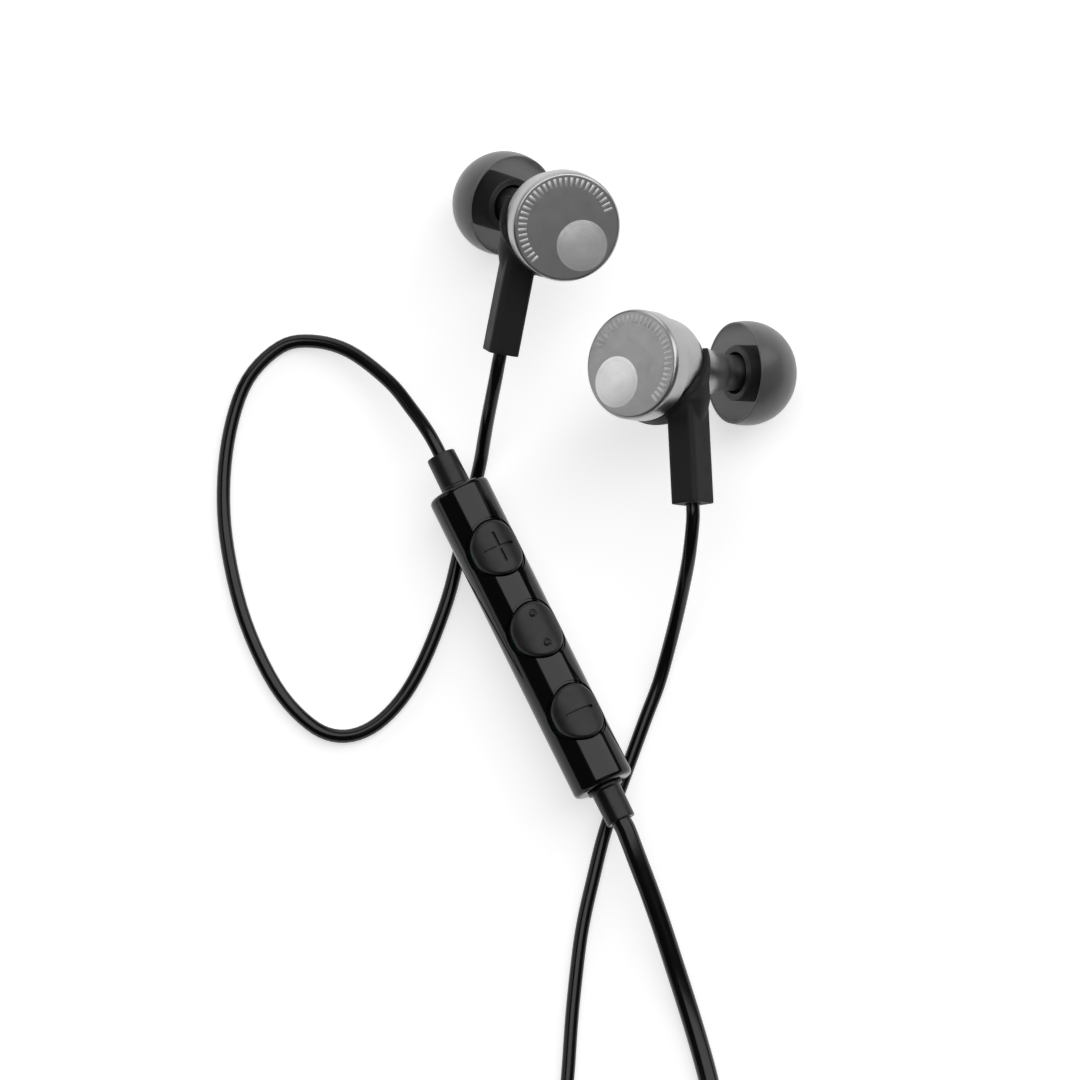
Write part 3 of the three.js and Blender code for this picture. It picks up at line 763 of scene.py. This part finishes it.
def end_cap(side, matrix):
    """A shallow metal cup, face outwards."""
    profile = filleted(
        [
            (0, 0, 0),
            (5.7, 0, 0.1),
            (5.88, -0.12, 0.08),
            (CAP_RADIUS, -0.42, 0.12),
            (CAP_RADIUS, -CAP_DEPTH, 0.15),
            (CAP_BORE, -CAP_DEPTH, 0.1),
            (CAP_BORE, -CAP_FACE, 0.1),
            (0, -CAP_FACE, 0),
        ],
        arc=4,
    )
    obj = turned(f"{side}_cap", profile, 144)
    place(obj, matrix, "spun_metal", "root", f"{side}_end_cap")


def face_spot(side, lean, matrix):
    """A plain spun disc, slightly domed, let into the cap's face. Its near-white colour is partly a bright inlay
    and partly a painted highlight on the face.
    """
    steps = 12
    crown = []
    for step in range(steps + 1):
        crown.append((SPOT_RADIUS * step / steps, SPOT_RISE * (1 - (step / steps) ** 2)))
    profile = [*crown, (SPOT_RADIUS, -SPOT_DEPTH), (0, -SPOT_DEPTH)]
    obj = turned(f"{side}_face_spot", profile)
    offset = Matrix.Translation(Vector((-lean * SPOT_ACROSS, -SPOT_DOWN, 0)) * MM)
    place(obj, matrix @ offset, "spot_metal_with_painted_highlight", "root", slot="spun_metal")


def rim_marks(side, lean, matrix):
    """Evenly spaced radial dashes round most of the cap's rim, like the marks of a dial."""
    points = []
    faces = []
    for i in range(MARK_COUNT):
        angle = math.radians(90 + (i - (MARK_COUNT - 1) / 2) * MARK_STEP) - lean * MARK_TURN
        out = Vector((math.cos(angle), math.sin(angle), 0))
        across = Vector((-out.y, out.x, 0))
        start = len(points)
        for z, inset in MARK_LAYERS:
            near = MARK_INNER + inset
            far = MARK_OUTER - inset
            for radial, lateral in ((near, -1), (far, -1), (far, 1), (near, 1)):
                points.append(out * radial + across * lateral * (MARK_WIDTH / 2 - inset) + UP * z)
        for row in (0, 4):
            for k in range(4):
                a = start + row + k
                b = start + row + (k + 1) % 4
                faces.append([a, b, b + 4, a + 4])
        faces.append([start + k for k in range(4)])
        faces.append([start + 8 + k for k in range(4)])
    obj = shape(f"{side}_rim_marks", points, faces)
    place(obj, matrix, "mark_metal", "root", slot="spun_metal")


def stem(side, lean, matrix):
    """The moulded stem: a post under a saddle that wraps the housing from below."""
    wrap = [(distance, radius + SADDLE_THICKNESS) for distance, radius in HOUSING_CURVE[:5]]
    saddle = swept("saddle", [(3.0, 1.0), (3.0, 5.9), *wrap, (9.2, 3.6), (9.2, 1.0)], lean, 64)
    # the saddle seen from the side, as (y, z) in the bud's frame
    back_edge = [(-9, -9.6), (-5, -9.3), (-1.4, -8.8), (0.6, -8.0), (1.7, -7.2)]
    front_edge = [(1.7, -6.7), (-0.9, -5.4), (-3.1, -4.0), (-5.2, -2), (-9, -2)]
    keep = prism("keep", back_edge + front_edge, -9, 9)
    keep.data.transform(Matrix(((0, 0, 1, 0), (1, 0, 0, 0), (0, 1, 0, 0), (0, 0, 0, 1))))
    combined(saddle, keep, "INTERSECT")
    # above the stem, it stays only on the side that the nozzle leans to
    left, right = (-9, -0.5) if lean > 0 else (0.5, 9)
    inner_half = box_shape("inner_half", (left, -2.0, -14), (right, 9, 0))
    combined(saddle, inner_half, "DIFFERENCE")
    post = prism("post", rounded_outline(STEM_WIDTH, STEM_THICKNESS, 0.6), 1.0, STEM_END + 0.1)
    turn_mesh(post, math.pi / 2, "X")
    shift_mesh(post, lean * STEM_SHIFT, 0, -STEM_DEPTH)
    flare_side = [(3.0, 1.5), (3.0, 4.0), (2.6, 5.2), (2.1, 6.4), (1.75, 7.8), (1.3, 9.2)]
    flare = turned("flare", [(0, 1.5), *flare_side, (0, 9.2)], 48)
    turn_mesh(flare, math.pi / 2, "X")
    flare.data.transform(Matrix.Diagonal((FLARE_SQUEEZE, 1, FLARE_SQUEEZE, 1)))
    shift_mesh(flare, lean * STEM_SHIFT * 0.96, 0, -STEM_DEPTH)
    combined(saddle, post, "UNION")
    combined(saddle, flare, "UNION")
    cap_back = -CAP_DEPTH - 0.2
    cap_side = CAP_RADIUS + 1
    cap_room = turned("cap_room", [(0, cap_back), (cap_side, cap_back), (cap_side, 1), (0, 1)])
    combined(saddle, cap_room, "DIFFERENCE")
    moulded(saddle, STEM_VOXEL, STEM_SMOOTHING)
    room = [(distance, radius + SADDLE_GAP) for distance, radius in HOUSING_CURVE]
    housing_room = swept("housing_room", [(2.0, 0.3), (2.0, 5.62), *room, (18, 2.1), (18, 0.3)], lean)
    combined(saddle, housing_room, "DIFFERENCE")
    cable_hole = turned("cable_hole", [(0, 13.9), (0.92, 13.9), (0.92, 16), (0, 16)], 32)
    turn_mesh(cable_hole, math.pi / 2, "X")
    shift_mesh(cable_hole, lean * STEM_SHIFT, 0, -STEM_DEPTH)
    combined(saddle, cable_hole, "DIFFERENCE")
    saddle.name = f"{side}_moulded_stem"
    place(saddle, matrix, "soft_black", "root", f"{side}_stem", sharp=50)


def nozzle_frame(matrix, lean, distance):
    """+Z along the nozzle from a point on its axis."""
    turn = Matrix.Rotation(math.pi, 4, "X")
    tilt = Matrix.Rotation(-lean * NOZZLE_LEAN, 4, "Y")
    bend = Matrix.Translation((0, 0, -BEND_DEPTH * MM))
    return matrix @ bend @ tilt @ turn @ Matrix.Translation((0, 0, distance * MM))


def add_wire(points, faces, along_x, offset, half):
    """Adds one wavy wire of the screen, from -half to half."""
    start = len(points)
    for step in range(WIRE_STEPS + 1):
        run = -half + 2 * half * step / WIRE_STEPS
        wave = WIRE_WAVE * math.cos(math.pi * run / SCREEN_PITCH) * (1 if along_x else -1)
        for k in range(WIRE_SIDES):
            angle = 2 * math.pi * k / WIRE_SIDES
            across = offset + WIRE_RADIUS * math.cos(angle)
            z = wave + WIRE_RADIUS * math.sin(angle)
            points.append((run, across, z) if along_x else (across, run, z))
    for step in range(WIRE_STEPS):
        for k in range(WIRE_SIDES):
            a = start + step * WIRE_SIDES + k
            b = start + step * WIRE_SIDES + (k + 1) % WIRE_SIDES
            faces.append([a, b, b + WIRE_SIDES, a + WIRE_SIDES])
    for end in (start, start + WIRE_STEPS * WIRE_SIDES):
        faces.append([end + k for k in range(WIRE_SIDES)])


def nozzle_screen(side, lean, matrix):
    """A screen in the nozzle's mouth: two crossed sets of fine wires, which run through each other."""
    points = []
    faces = []
    count = int(SCREEN_RADIUS / SCREEN_PITCH)
    for along_x in (False, True):
        for i in range(-count, count + 1):
            offset = i * SCREEN_PITCH
            half = math.sqrt(SCREEN_RADIUS**2 - offset**2)
            add_wire(points, faces, along_x, offset, half)
    obj = shape(f"{side}_nozzle_screen", points, faces)
    where = nozzle_frame(matrix, lean, NOZZLE_LENGTH - SCREEN_DEPTH)
    place(obj, where, "nickel", "root", f"{side}_nozzle_mesh", slot="dark_metal")


def ear_tip(side, lean, matrix):
    """A silicone dome with a hollow skirt, round a thicker core that grips the nozzle."""
    dome_outer = smooth_through(
        [(5.54, 0.0), (5.7, 1.3), (5.56, 2.8), (4.97, 4.25), (4.05, 5.38), (3.05, 6.1), (2.3, 6.36)]
    )
    dome_inner = smooth_through(
        [(3.15, 4.9), (4.1, 4.45), (4.85, 3.3), (5.25, 2.0), (5.35, 1.0), (5.26, 0.1)]
    )
    profile = [tuple(point) for point in dome_outer]
    profile += [(2.05, 6.34), (1.95, 6.2), (1.95, 5.7), (2.5, 5.5)]
    profile += [tuple(point) for point in dome_inner]
    profile += [(5.31, 0.0), (5.4, -0.04), (5.49, -0.04)]
    skin = turned(f"{side}_tip_skin", profile, 128)
    where = nozzle_frame(matrix, lean, TIP_START)
    body = f"{side}_tip"
    place(skin, where, "silicone", body, f"{side}_ear_tip", sharp=60)
    core_profile = filleted(
        [(2.28, 0, 0.1), (3.05, 0, 0.2), (3.12, 4.95, 0.05), (2.55, 5.45, 0.05), (2.28, 5.3, 0.05)],
        loop=True,
    )
    core = turned(f"{side}_tip_core", core_profile)
    place(core, where, "silicone_core", body, slot="silicone")


for side, lean, matrix in BUDS:
    end_cap(side, matrix)
    face_spot(side, lean, matrix)
    rim_marks(side, lean, matrix)
    housing(side, lean, matrix)
    stem(side, lean, matrix)
    nozzle_screen(side, lean, matrix)
    ear_tip(side, lean, matrix)

# ---------- remote

REMOTE_RADIUS = 3.43
REMOTE_LENGTH = 36.4
BUTTON_WIDTH = 5.5
BUTTON_LENGTH = 6.3
BUTTON_PITCH = 10.0
BUTTON_PROUD = 0.25
BUTTON_GAP = 0.16
RECESS_WIDTH = 0.4  # a shallow step in the shell round each button
RECESS_DEPTH = 0.12
PORT_RADIUS = 0.4
CROWN = REMOTE_RADIUS + BUTTON_PROUD
STEP_RADIUS = REMOTE_RADIUS - RECESS_DEPTH
END = REMOTE_LENGTH / 2
SHELL_BORE = 2.7
SHELL_END = 1.2  # thickness of the shell's end walls
CABLE_HOLE = 1.35
SEAM_HALF = 0.02
REMOTE_SIDES = 160
KEY_FLOOR = 1.9  # height of a key's underside over the remote's axis
KEY_EDGE = 0.32
STROKE_WIDTH = 0.38
STROKE_DEPTH = 0.32
PLUS_LENGTH = 3.6
MINUS_LENGTH = 3.3
DOT_OFFSET = 1.78
DOT_RADIUS = 0.34


def lying(obj):
    """A turned shape laid along +Y."""
    return turn_mesh(obj, -math.pi / 2, "X")


def remote_tube(name):
    """The remote's whole hollow body, before it is split into two shells."""
    inside = END - SHELL_END
    corners = [(CABLE_HOLE, -END, 0.1), (REMOTE_RADIUS, -END, 0.65)]
    corners += [(REMOTE_RADIUS, END, 0.65), (CABLE_HOLE, END, 0.1)]
    corners += [(CABLE_HOLE, inside, 0.05), (SHELL_BORE, inside, 0.1)]
    corners += [(SHELL_BORE, -inside, 0.1), (CABLE_HOLE, -inside, 0.05)]
    return lying(turned(name, filleted(corners, loop=True, arc=8), REMOTE_SIDES))


def stadium(inset):
    """A key's outline, drawn in by inset."""
    count = 24
    radius = BUTTON_WIDTH / 2 - inset
    straight = (BUTTON_LENGTH - BUTTON_WIDTH) / 2
    points = []
    for half in (1, -1):
        for step in range(count + 1):
            angle = math.pi * step / count + (0 if half > 0 else math.pi)
            points.append((radius * math.cos(angle), half * straight + radius * math.sin(angle)))
    return points


def key_room(name, margin, step):
    """A cutter with a key's outline and a margin round it, at one of the three keys."""
    return shift_mesh(prism(name, stadium(-margin), 0.6, 5), 0, step * BUTTON_PITCH, 0)


def remote_shells():
    """A front shell with stepped openings for the keys, and a rear shell with the microphone's port."""
    front = remote_tube("remote_front")
    combined(front, box_shape("upper", (-5, -25, SEAM_HALF), (5, 25, 6)), "INTERSECT")
    under_step_side = [(0, -30), (STEP_RADIUS, -30), (STEP_RADIUS, 30), (0, 30)]
    for step in (-1, 0, 1):
        step_room = key_room("step_room", RECESS_WIDTH, step)
        under_step = lying(turned("under_step", under_step_side, REMOTE_SIDES))
        combined(step_room, under_step, "DIFFERENCE")
        combined(front, step_room, "DIFFERENCE")
        combined(front, key_room("opening", BUTTON_GAP, step), "DIFFERENCE")
    place(front, REMOTE, "gloss_black", "root", "remote_front_shell", sharp=30)
    rear = remote_tube("remote_rear")
    combined(rear, box_shape("lower", (-5, -25, -6), (5, 25, -SEAM_HALF)), "INTERSECT")
    port = turned("port", [(0, -5), (PORT_RADIUS, -5), (PORT_RADIUS, -1), (0, -1)], 32)
    shift_mesh(port, 0, BUTTON_PITCH * 1.5, 0)
    combined(rear, port, "DIFFERENCE")
    place(rear, REMOTE, "gloss_black", "root", "remote_rear_shell", sharp=30)


def crown_height(x):
    """Height of a key's top over the remote's axis."""
    return math.sqrt(CROWN**2 - x**2)


def key_blank(name):
    """A key whose top follows the remote's roundness, with a rolled edge."""
    steps = 6
    rings = [[(x, y, KEY_FLOOR) for x, y in stadium(0.0)]]
    for step in range(steps + 1):
        angle = math.pi / 2 * step / steps
        inset = KEY_EDGE * (1 - math.cos(angle))
        drop = KEY_EDGE * (1 - math.sin(angle))
        rings.append([(x, y, crown_height(x) - drop) for x, y in stadium(inset)])
    for inset in (0.6, 0.9, 1.3, 1.7, 2.1, 2.4, 2.6):
        rings.append([(x, y, crown_height(x)) for x, y in stadium(inset)])
    return capped(rings_mesh(name, rings, False), len(rings[0]))


def groove(length, along_y):
    """A cutter for an engraved stroke with round ends, at an even depth under the key's top."""
    steps = 28
    lanes = 6
    rings = []
    for step in range(steps + 1):
        run = -length / 2 + length * (1 - math.cos(math.pi * step / steps)) / 2
        over = max(0.0, abs(run) - (length / 2 - STROKE_WIDTH / 2))
        half = max(math.sqrt(max((STROKE_WIDTH / 2) ** 2 - over**2, 0)), 0.01)
        row = []
        for lane in range(lanes + 1):
            side = -half + 2 * half * lane / lanes
            row.append((side, run) if along_y else (run, side))
        low = [(x, y, crown_height(x) - STROKE_DEPTH) for x, y in row]
        high = [(x, y, crown_height(x) + 0.4) for x, y in reversed(row)]
        rings.append(low + high)
    return capped(rings_mesh("groove", rings, False), len(rings[0]))


def buttons():
    """Keys with an engraved plus and minus, and a centre key with two raised dots."""
    plus = key_blank("volume_up_keycap")
    combined(plus, groove(PLUS_LENGTH, True), "DIFFERENCE")
    combined(plus, groove(PLUS_LENGTH, False), "DIFFERENCE")
    minus = key_blank("volume_down_keycap")
    combined(minus, groove(MINUS_LENGTH, False), "DIFFERENCE")
    centre = key_blank("centre_keycap")
    well_side = [(0, CROWN - 0.16), (0.5, CROWN - 0.16), (0.52, CROWN + 0.5), (0, CROWN + 0.5)]
    dome = [(DOT_RADIUS * math.cos(a), CROWN - 0.12 + 0.2 * math.sin(a)) for a in (0, 0.3, 0.6, 0.9, 1.2)]
    dot_side = [(0, CROWN - 0.4), (DOT_RADIUS, CROWN - 0.4), *dome, (0, CROWN + 0.08)]
    for step in (-1, 1):
        well = turned("well", well_side, 40)
        combined(centre, shift_mesh(well, 0, step * DOT_OFFSET, 0), "DIFFERENCE")
        dot = turned("dot", dot_side, 40)
        combined(centre, shift_mesh(dot, 0, step * DOT_OFFSET, 0), "UNION")
    keys = [(plus, "volume_up", 1), (centre, "centre", 0), (minus, "volume_down", -1)]
    for obj, name, step in keys:
        shift_mesh(obj, 0, step * BUTTON_PITCH, 0)
        place(obj, REMOTE, "satin_black", f"{name}_key", f"{name}_button", sharp=42)


def boots():
    """A short sleeve round the cable at each end of the remote."""
    for name, way, collar in (("remote_upper_boot", 1, 1.7), ("remote_lower_boot", -1, 2.0)):
        corners = [
            (0, END - 1.0, 0),
            (1.3, END - 1.0, 0.05),
            (1.3, END + 0.05, 0.05),
            (collar, END + 0.05, 0.08),
            (collar, END + 0.4, 0.1),
            (1.66, END + 0.5, 0.05),
            (1.62, END + 3.95, 0.0),
            (1.6, END + 4.2, 0.12),
            (1.02, END + 4.2, 0.08),
            (1.0, END + 3.4, 0.02),
            (0, END + 3.4, 0),
        ]
        obj = lying(turned(f"{name}_sleeve", filleted(corners), 72))
        if way < 0:
            turn_mesh(obj, math.pi, "Z")
        place(obj, REMOTE, "boot_black", "root", name, slot="satin_black")


remote_shells()
buttons()
boots()

# ---------- splitter

SPLITTER_LENGTH = 16.7
SLEEVE_END = 12.5  # from the splitter's plug end


def splitter():
    """A moulded body with a grooved metal sleeve. Returns its pieces."""
    low = -SPLITTER_LENGTH / 2
    high = low + SPLITTER_LENGTH
    sleeve_end = low + SLEEVE_END
    core = filleted(
        [
            (0, low, 0),
            (2.2, low, 0.25),
            (2.42, low + 1.6, 0.1),
            (1.75, low + 1.6, 0.05),
            (1.75, sleeve_end + 0.1, 0.05),
            (2.35, sleeve_end + 0.1, 0.15),
            (2.05, sleeve_end + 1.6, 0.4),
            (1.55, high, 0.2),
            (0, high, 0),
        ]
    )
    body = place(turned("splitter_body", core, 72), SPLITTER, "soft_black", "root", "splitter_core")
    corners = [(1.8, low + 1.7, 0.05), (2.35, low + 1.7, 0.15), (2.5, low + 2.0, 0.1)]
    for step in range(4):
        at = low + 2.5 + 0.45 * step
        corners += [(2.5, at, 0.04), (2.42, at + 0.1, 0.04), (2.5, at + 0.2, 0.04)]
    corners += [(2.5, sleeve_end - 0.3, 0.1), (2.35, sleeve_end, 0.1), (1.8, sleeve_end, 0.05)]
    sleeve = turned("splitter_ring", filleted(corners, loop=True, arc=3), 72)
    place(sleeve, SPLITTER, "spun_metal", "root", "splitter_sleeve")
    return [body, sleeve]


# ---------- plug

PLUG_START = -3.5  # the boot's cable end, from the boot's middle
PLUG_BOOT_LENGTH = 7.0
PLUG_BARREL_RADIUS = 2.7
PLUG_BARREL_LENGTH = 12.0
PIN_RADIUS = 1.75
CONTACT_GAP = 0.02
WASHER_RADIUS = 1.7
WASHER_LENGTH = 0.68


def plug():
    """A ridged strain relief, a metal shell and a four-pole pin. Returns its pieces."""
    start = PLUG_START
    end = start + PLUG_BOOT_LENGTH
    corners = [(0, start, 0), (1.35, start, 0.15)]
    for step in range(5):
        at = start + 0.9 + step * 0.95
        radius = 1.42 + 0.13 * step
        corners += [(radius, at, 0.06)]
        corners += [(radius - 0.22, at + 0.1, 0.04), (radius - 0.22, at + 0.42, 0.04)]
        corners += [(radius + 0.06, at + 0.5, 0.06)]
    corners += [(2.1, end - 1.0, 0.2), (2.15, end + 0.2, 0.05), (0, end + 0.2, 0)]
    relief = turned("plug_relief", filleted(corners, arc=3), 72)
    pieces = [place(relief, PLUG, "soft_black", "root", "plug_boot")]
    barrel_start = end + 0.3
    shoulder = barrel_start + PLUG_BARREL_LENGTH
    corners = [(0, barrel_start, 0), (2.35, barrel_start, 0.12)]
    corners += [(PLUG_BARREL_RADIUS, barrel_start + 0.4, 0.15)]
    for step in range(5):
        at = barrel_start + 2.0 + 0.5 * step
        corners += [(PLUG_BARREL_RADIUS, at, 0.04), (PLUG_BARREL_RADIUS - 0.1, at + 0.12, 0.04)]
        corners += [(PLUG_BARREL_RADIUS, at + 0.24, 0.04)]
    corners += [(PLUG_BARREL_RADIUS, shoulder, 0.25), (0, shoulder, 0)]
    barrel = turned("plug_shell", filleted(corners, arc=4))
    pieces.append(place(barrel, PLUG, "spun_metal", "root", "plug_barrel"))
    at = shoulder + CONTACT_GAP
    for name, length in (("sleeve", 5.38), ("ring_2", 1.88), ("ring_1", 1.88)):
        outline = filleted(
            [(0, at, 0), (PIN_RADIUS, at, 0.05), (PIN_RADIUS, at + length, 0.05), (0, at + length, 0)]
        )
        contact = turned(f"pin_{name}", outline, 72)
        pieces.append(place(contact, PLUG, "gold", "root", f"plug_{name}_contact"))
        at += length + CONTACT_GAP
        far = at + WASHER_LENGTH
        outline = filleted([(0, at, 0), (WASHER_RADIUS, at, 0.04), (WASHER_RADIUS, far, 0.04), (0, far, 0)])
        washer = turned(f"pin_{name}_washer", outline, 72)
        pieces.append(place(washer, PLUG, "insulator", "root", f"plug_{name}_insulator"))
        at = far + CONTACT_GAP
    tip = filleted(
        [
            (0, at, 0),
            (PIN_RADIUS, at, 0.05),
            (PIN_RADIUS, at + 0.45, 0.15),
            (1.15, at + 1.2, 0.3),
            (1.62, at + 2.1, 0.35),
            (0.6, at + 3.35, 0.3),
            (0, at + 3.45, 0),
        ]
    )
    pieces.append(place(turned("pin_tip", tip, 72), PLUG, "gold", "root", "plug_tip_contact"))
    return pieces


# ---------- tie round the coil

TIE_THICKNESS = 0.42
TIE_WIDTH = 3.0
TAIL_ROUNDING = 5  # points of the path over which a loose end narrows


def band(name, path, loop, thickness, width):
    """A flat strap with soft edges along (radius, height) points, in the coil's frame.

    Unless it is a loop, its last end is round.
    """
    line = [Vector(point) for point in path]
    count = len(line)
    section = rounded_outline(thickness, width, thickness * 0.45, 4)
    rings = []
    for i, here in enumerate(line):
        before = line[i - 1] if i or loop else here
        after = line[(i + 1) % count] if i < count - 1 or loop else here
        run = (after - before).normalized()
        out = Vector((run.y, -run.x))
        near_end = 1.0 if loop else min(1.0, (count - 1 - i + 0.35) / TAIL_ROUNDING)
        narrow = math.sqrt(1 - (1 - near_end) ** 2)
        rings.append([(here.x + out.x * a, b * narrow, here.y + out.y * a) for a, b in section])
    obj = rings_mesh(name, rings, loop)
    return obj if loop else capped(obj, len(section))


def tie():
    """A strap round the coil, with its loose tail lying over it. Returns its pieces."""
    frame_here = Matrix.Translation(COIL_CENTRE) @ Matrix.Rotation(math.radians(TIE_ANGLE), 4, "Z")
    corners = [
        (7.45, 0.24, 0.8),
        (21.8, 0.24, 1.0),
        (21.8, 2.6, 1.2),
        (19.6, 7.05, 1.2),
        (13.4, 7.1, 0.9),
        (12.6, 5.5, 0.6),
        (7.45, 5.45, 0.9),
    ]
    strap = band("tie_strap", filleted(corners, loop=True, arc=8), True, TIE_THICKNESS, TIE_WIDTH)
    loop_piece = place(strap, frame_here, "soft_black", "root", "cable_tie")
    lift = TIE_THICKNESS * 1.02
    tail_top = 7.09 + lift
    bend = filleted([(21.9 + lift * 0.7, 2.9, 0), (19.8, 7.05 + lift, 1.4), (14.6, tail_top, 0)], arc=10)
    straight = [(14.6 + 5.2 * (1 - step / 10), tail_top) for step in range(2, 11)]
    tail = band("tie_tail", bend[:-1] + straight, False, TIE_THICKNESS * 0.9, TIE_WIDTH * 0.92)
    tail_piece = place(tail, frame_here, "soft_black", "root")
    return [loop_piece, tail_piece]


SPLITTER_PIECES = splitter()
PLUG_PIECES = plug()
TIE_PIECES = tie()

# ---------- floor and light

FLOOR_HALF = 3.0
FLOOR_GREY = 0.62
FLOOR_GLOW = 0.62
WORLD_GREY = 0.05
FLOOR_DROP = 0.00002  # keeps the floor just under the pieces that rest on z = 0


def floor():
    """A white light table: it glows a little, so that shadows on it stay faint."""
    half = FLOOR_HALF
    corners = [(-half, -half, 0), (half, -half, 0), (half, half, 0), (-half, half, 0)]
    mesh = bpy.data.meshes.new("floor")
    mesh.from_pydata(corners, [], [(0, 1, 2, 3)])
    obj = bpy.data.objects.new("floor", mesh)
    bpy.context.scene.collection.objects.link(obj)
    glow = {"Specular_IOR_Level": 0.0, "Emission_Color": (1, 1, 1, 1), "Emission_Strength": FLOOR_GLOW}
    mesh.materials.append(new_material("floor", (FLOOR_GREY,) * 3, 0.9, **glow))
    obj.location.z = -FLOOR_DROP


LIGHT_DISTANCE = 1.5  # metres
REMOTE_AXIS = (REMOTE.to_3x3() @ Vector((0, 1, 0))).normalized()
SOFTBOXES = [  # name, direction from the object, width, height, radiance
    ("key", (0.331, 0.334, 0.882), 3.3, 1.0, 2.3),
    ("left_fill", (-0.92, 0.22, 0.36), 0.8, 0.8, 0.9),
    ("face_fill", (0.42, -0.41, 0.81), 0.9, 0.7, 0.22),
    ("back_fill", (-0.25, 0.90, 0.42), 1.6, 0.9, 1.6),
]


def softbox(name, direction, width, height, radiance):
    """An area light that faces the object, with its width across the remote, in metres.

    Its radiance is what a mirror would show of it.
    """
    data = bpy.data.lights.new(name, "AREA")
    data.shape = "RECTANGLE"
    data.size = width
    data.size_y = height
    data.energy = radiance * math.pi * width * height
    obj = bpy.data.objects.new(name, data)
    z_axis = Vector(direction).normalized()
    obj.location = z_axis * LIGHT_DISTANCE
    x_axis = REMOTE_AXIS.cross(z_axis).normalized()
    upright = Matrix((x_axis, z_axis.cross(x_axis), z_axis)).transposed()
    obj.rotation_mode = "QUATERNION"
    obj.rotation_quaternion = upright.to_quaternion()
    obj.visible_camera = False
    bpy.context.scene.collection.objects.link(obj)


def lights():
    """The softboxes, and a world that is dim but shows white to the camera."""
    for row in SOFTBOXES:
        softbox(*row)
    world = bpy.data.worlds.new("world")
    world.use_nodes = True
    tree = world.node_tree
    dim = tree.nodes["Background"]
    dim.inputs["Color"].default_value = (WORLD_GREY, WORLD_GREY, WORLD_GREY, 1)
    pale = tree.nodes.new("ShaderNodeBackground")
    pale.inputs["Color"].default_value = (1, 1, 1, 1)
    rays = tree.nodes.new("ShaderNodeLightPath")
    mix = tree.nodes.new("ShaderNodeMixShader")
    tree.links.new(rays.outputs["Is Camera Ray"], mix.inputs["Fac"])
    tree.links.new(dim.outputs["Background"], mix.inputs[1])
    tree.links.new(pale.outputs["Background"], mix.inputs[2])
    tree.links.new(mix.outputs["Shader"], tree.nodes["World Output"].inputs["Surface"])
    bpy.context.scene.world = world


floor()
lights()
bpy.context.scene.view_settings.view_transform = "Standard"
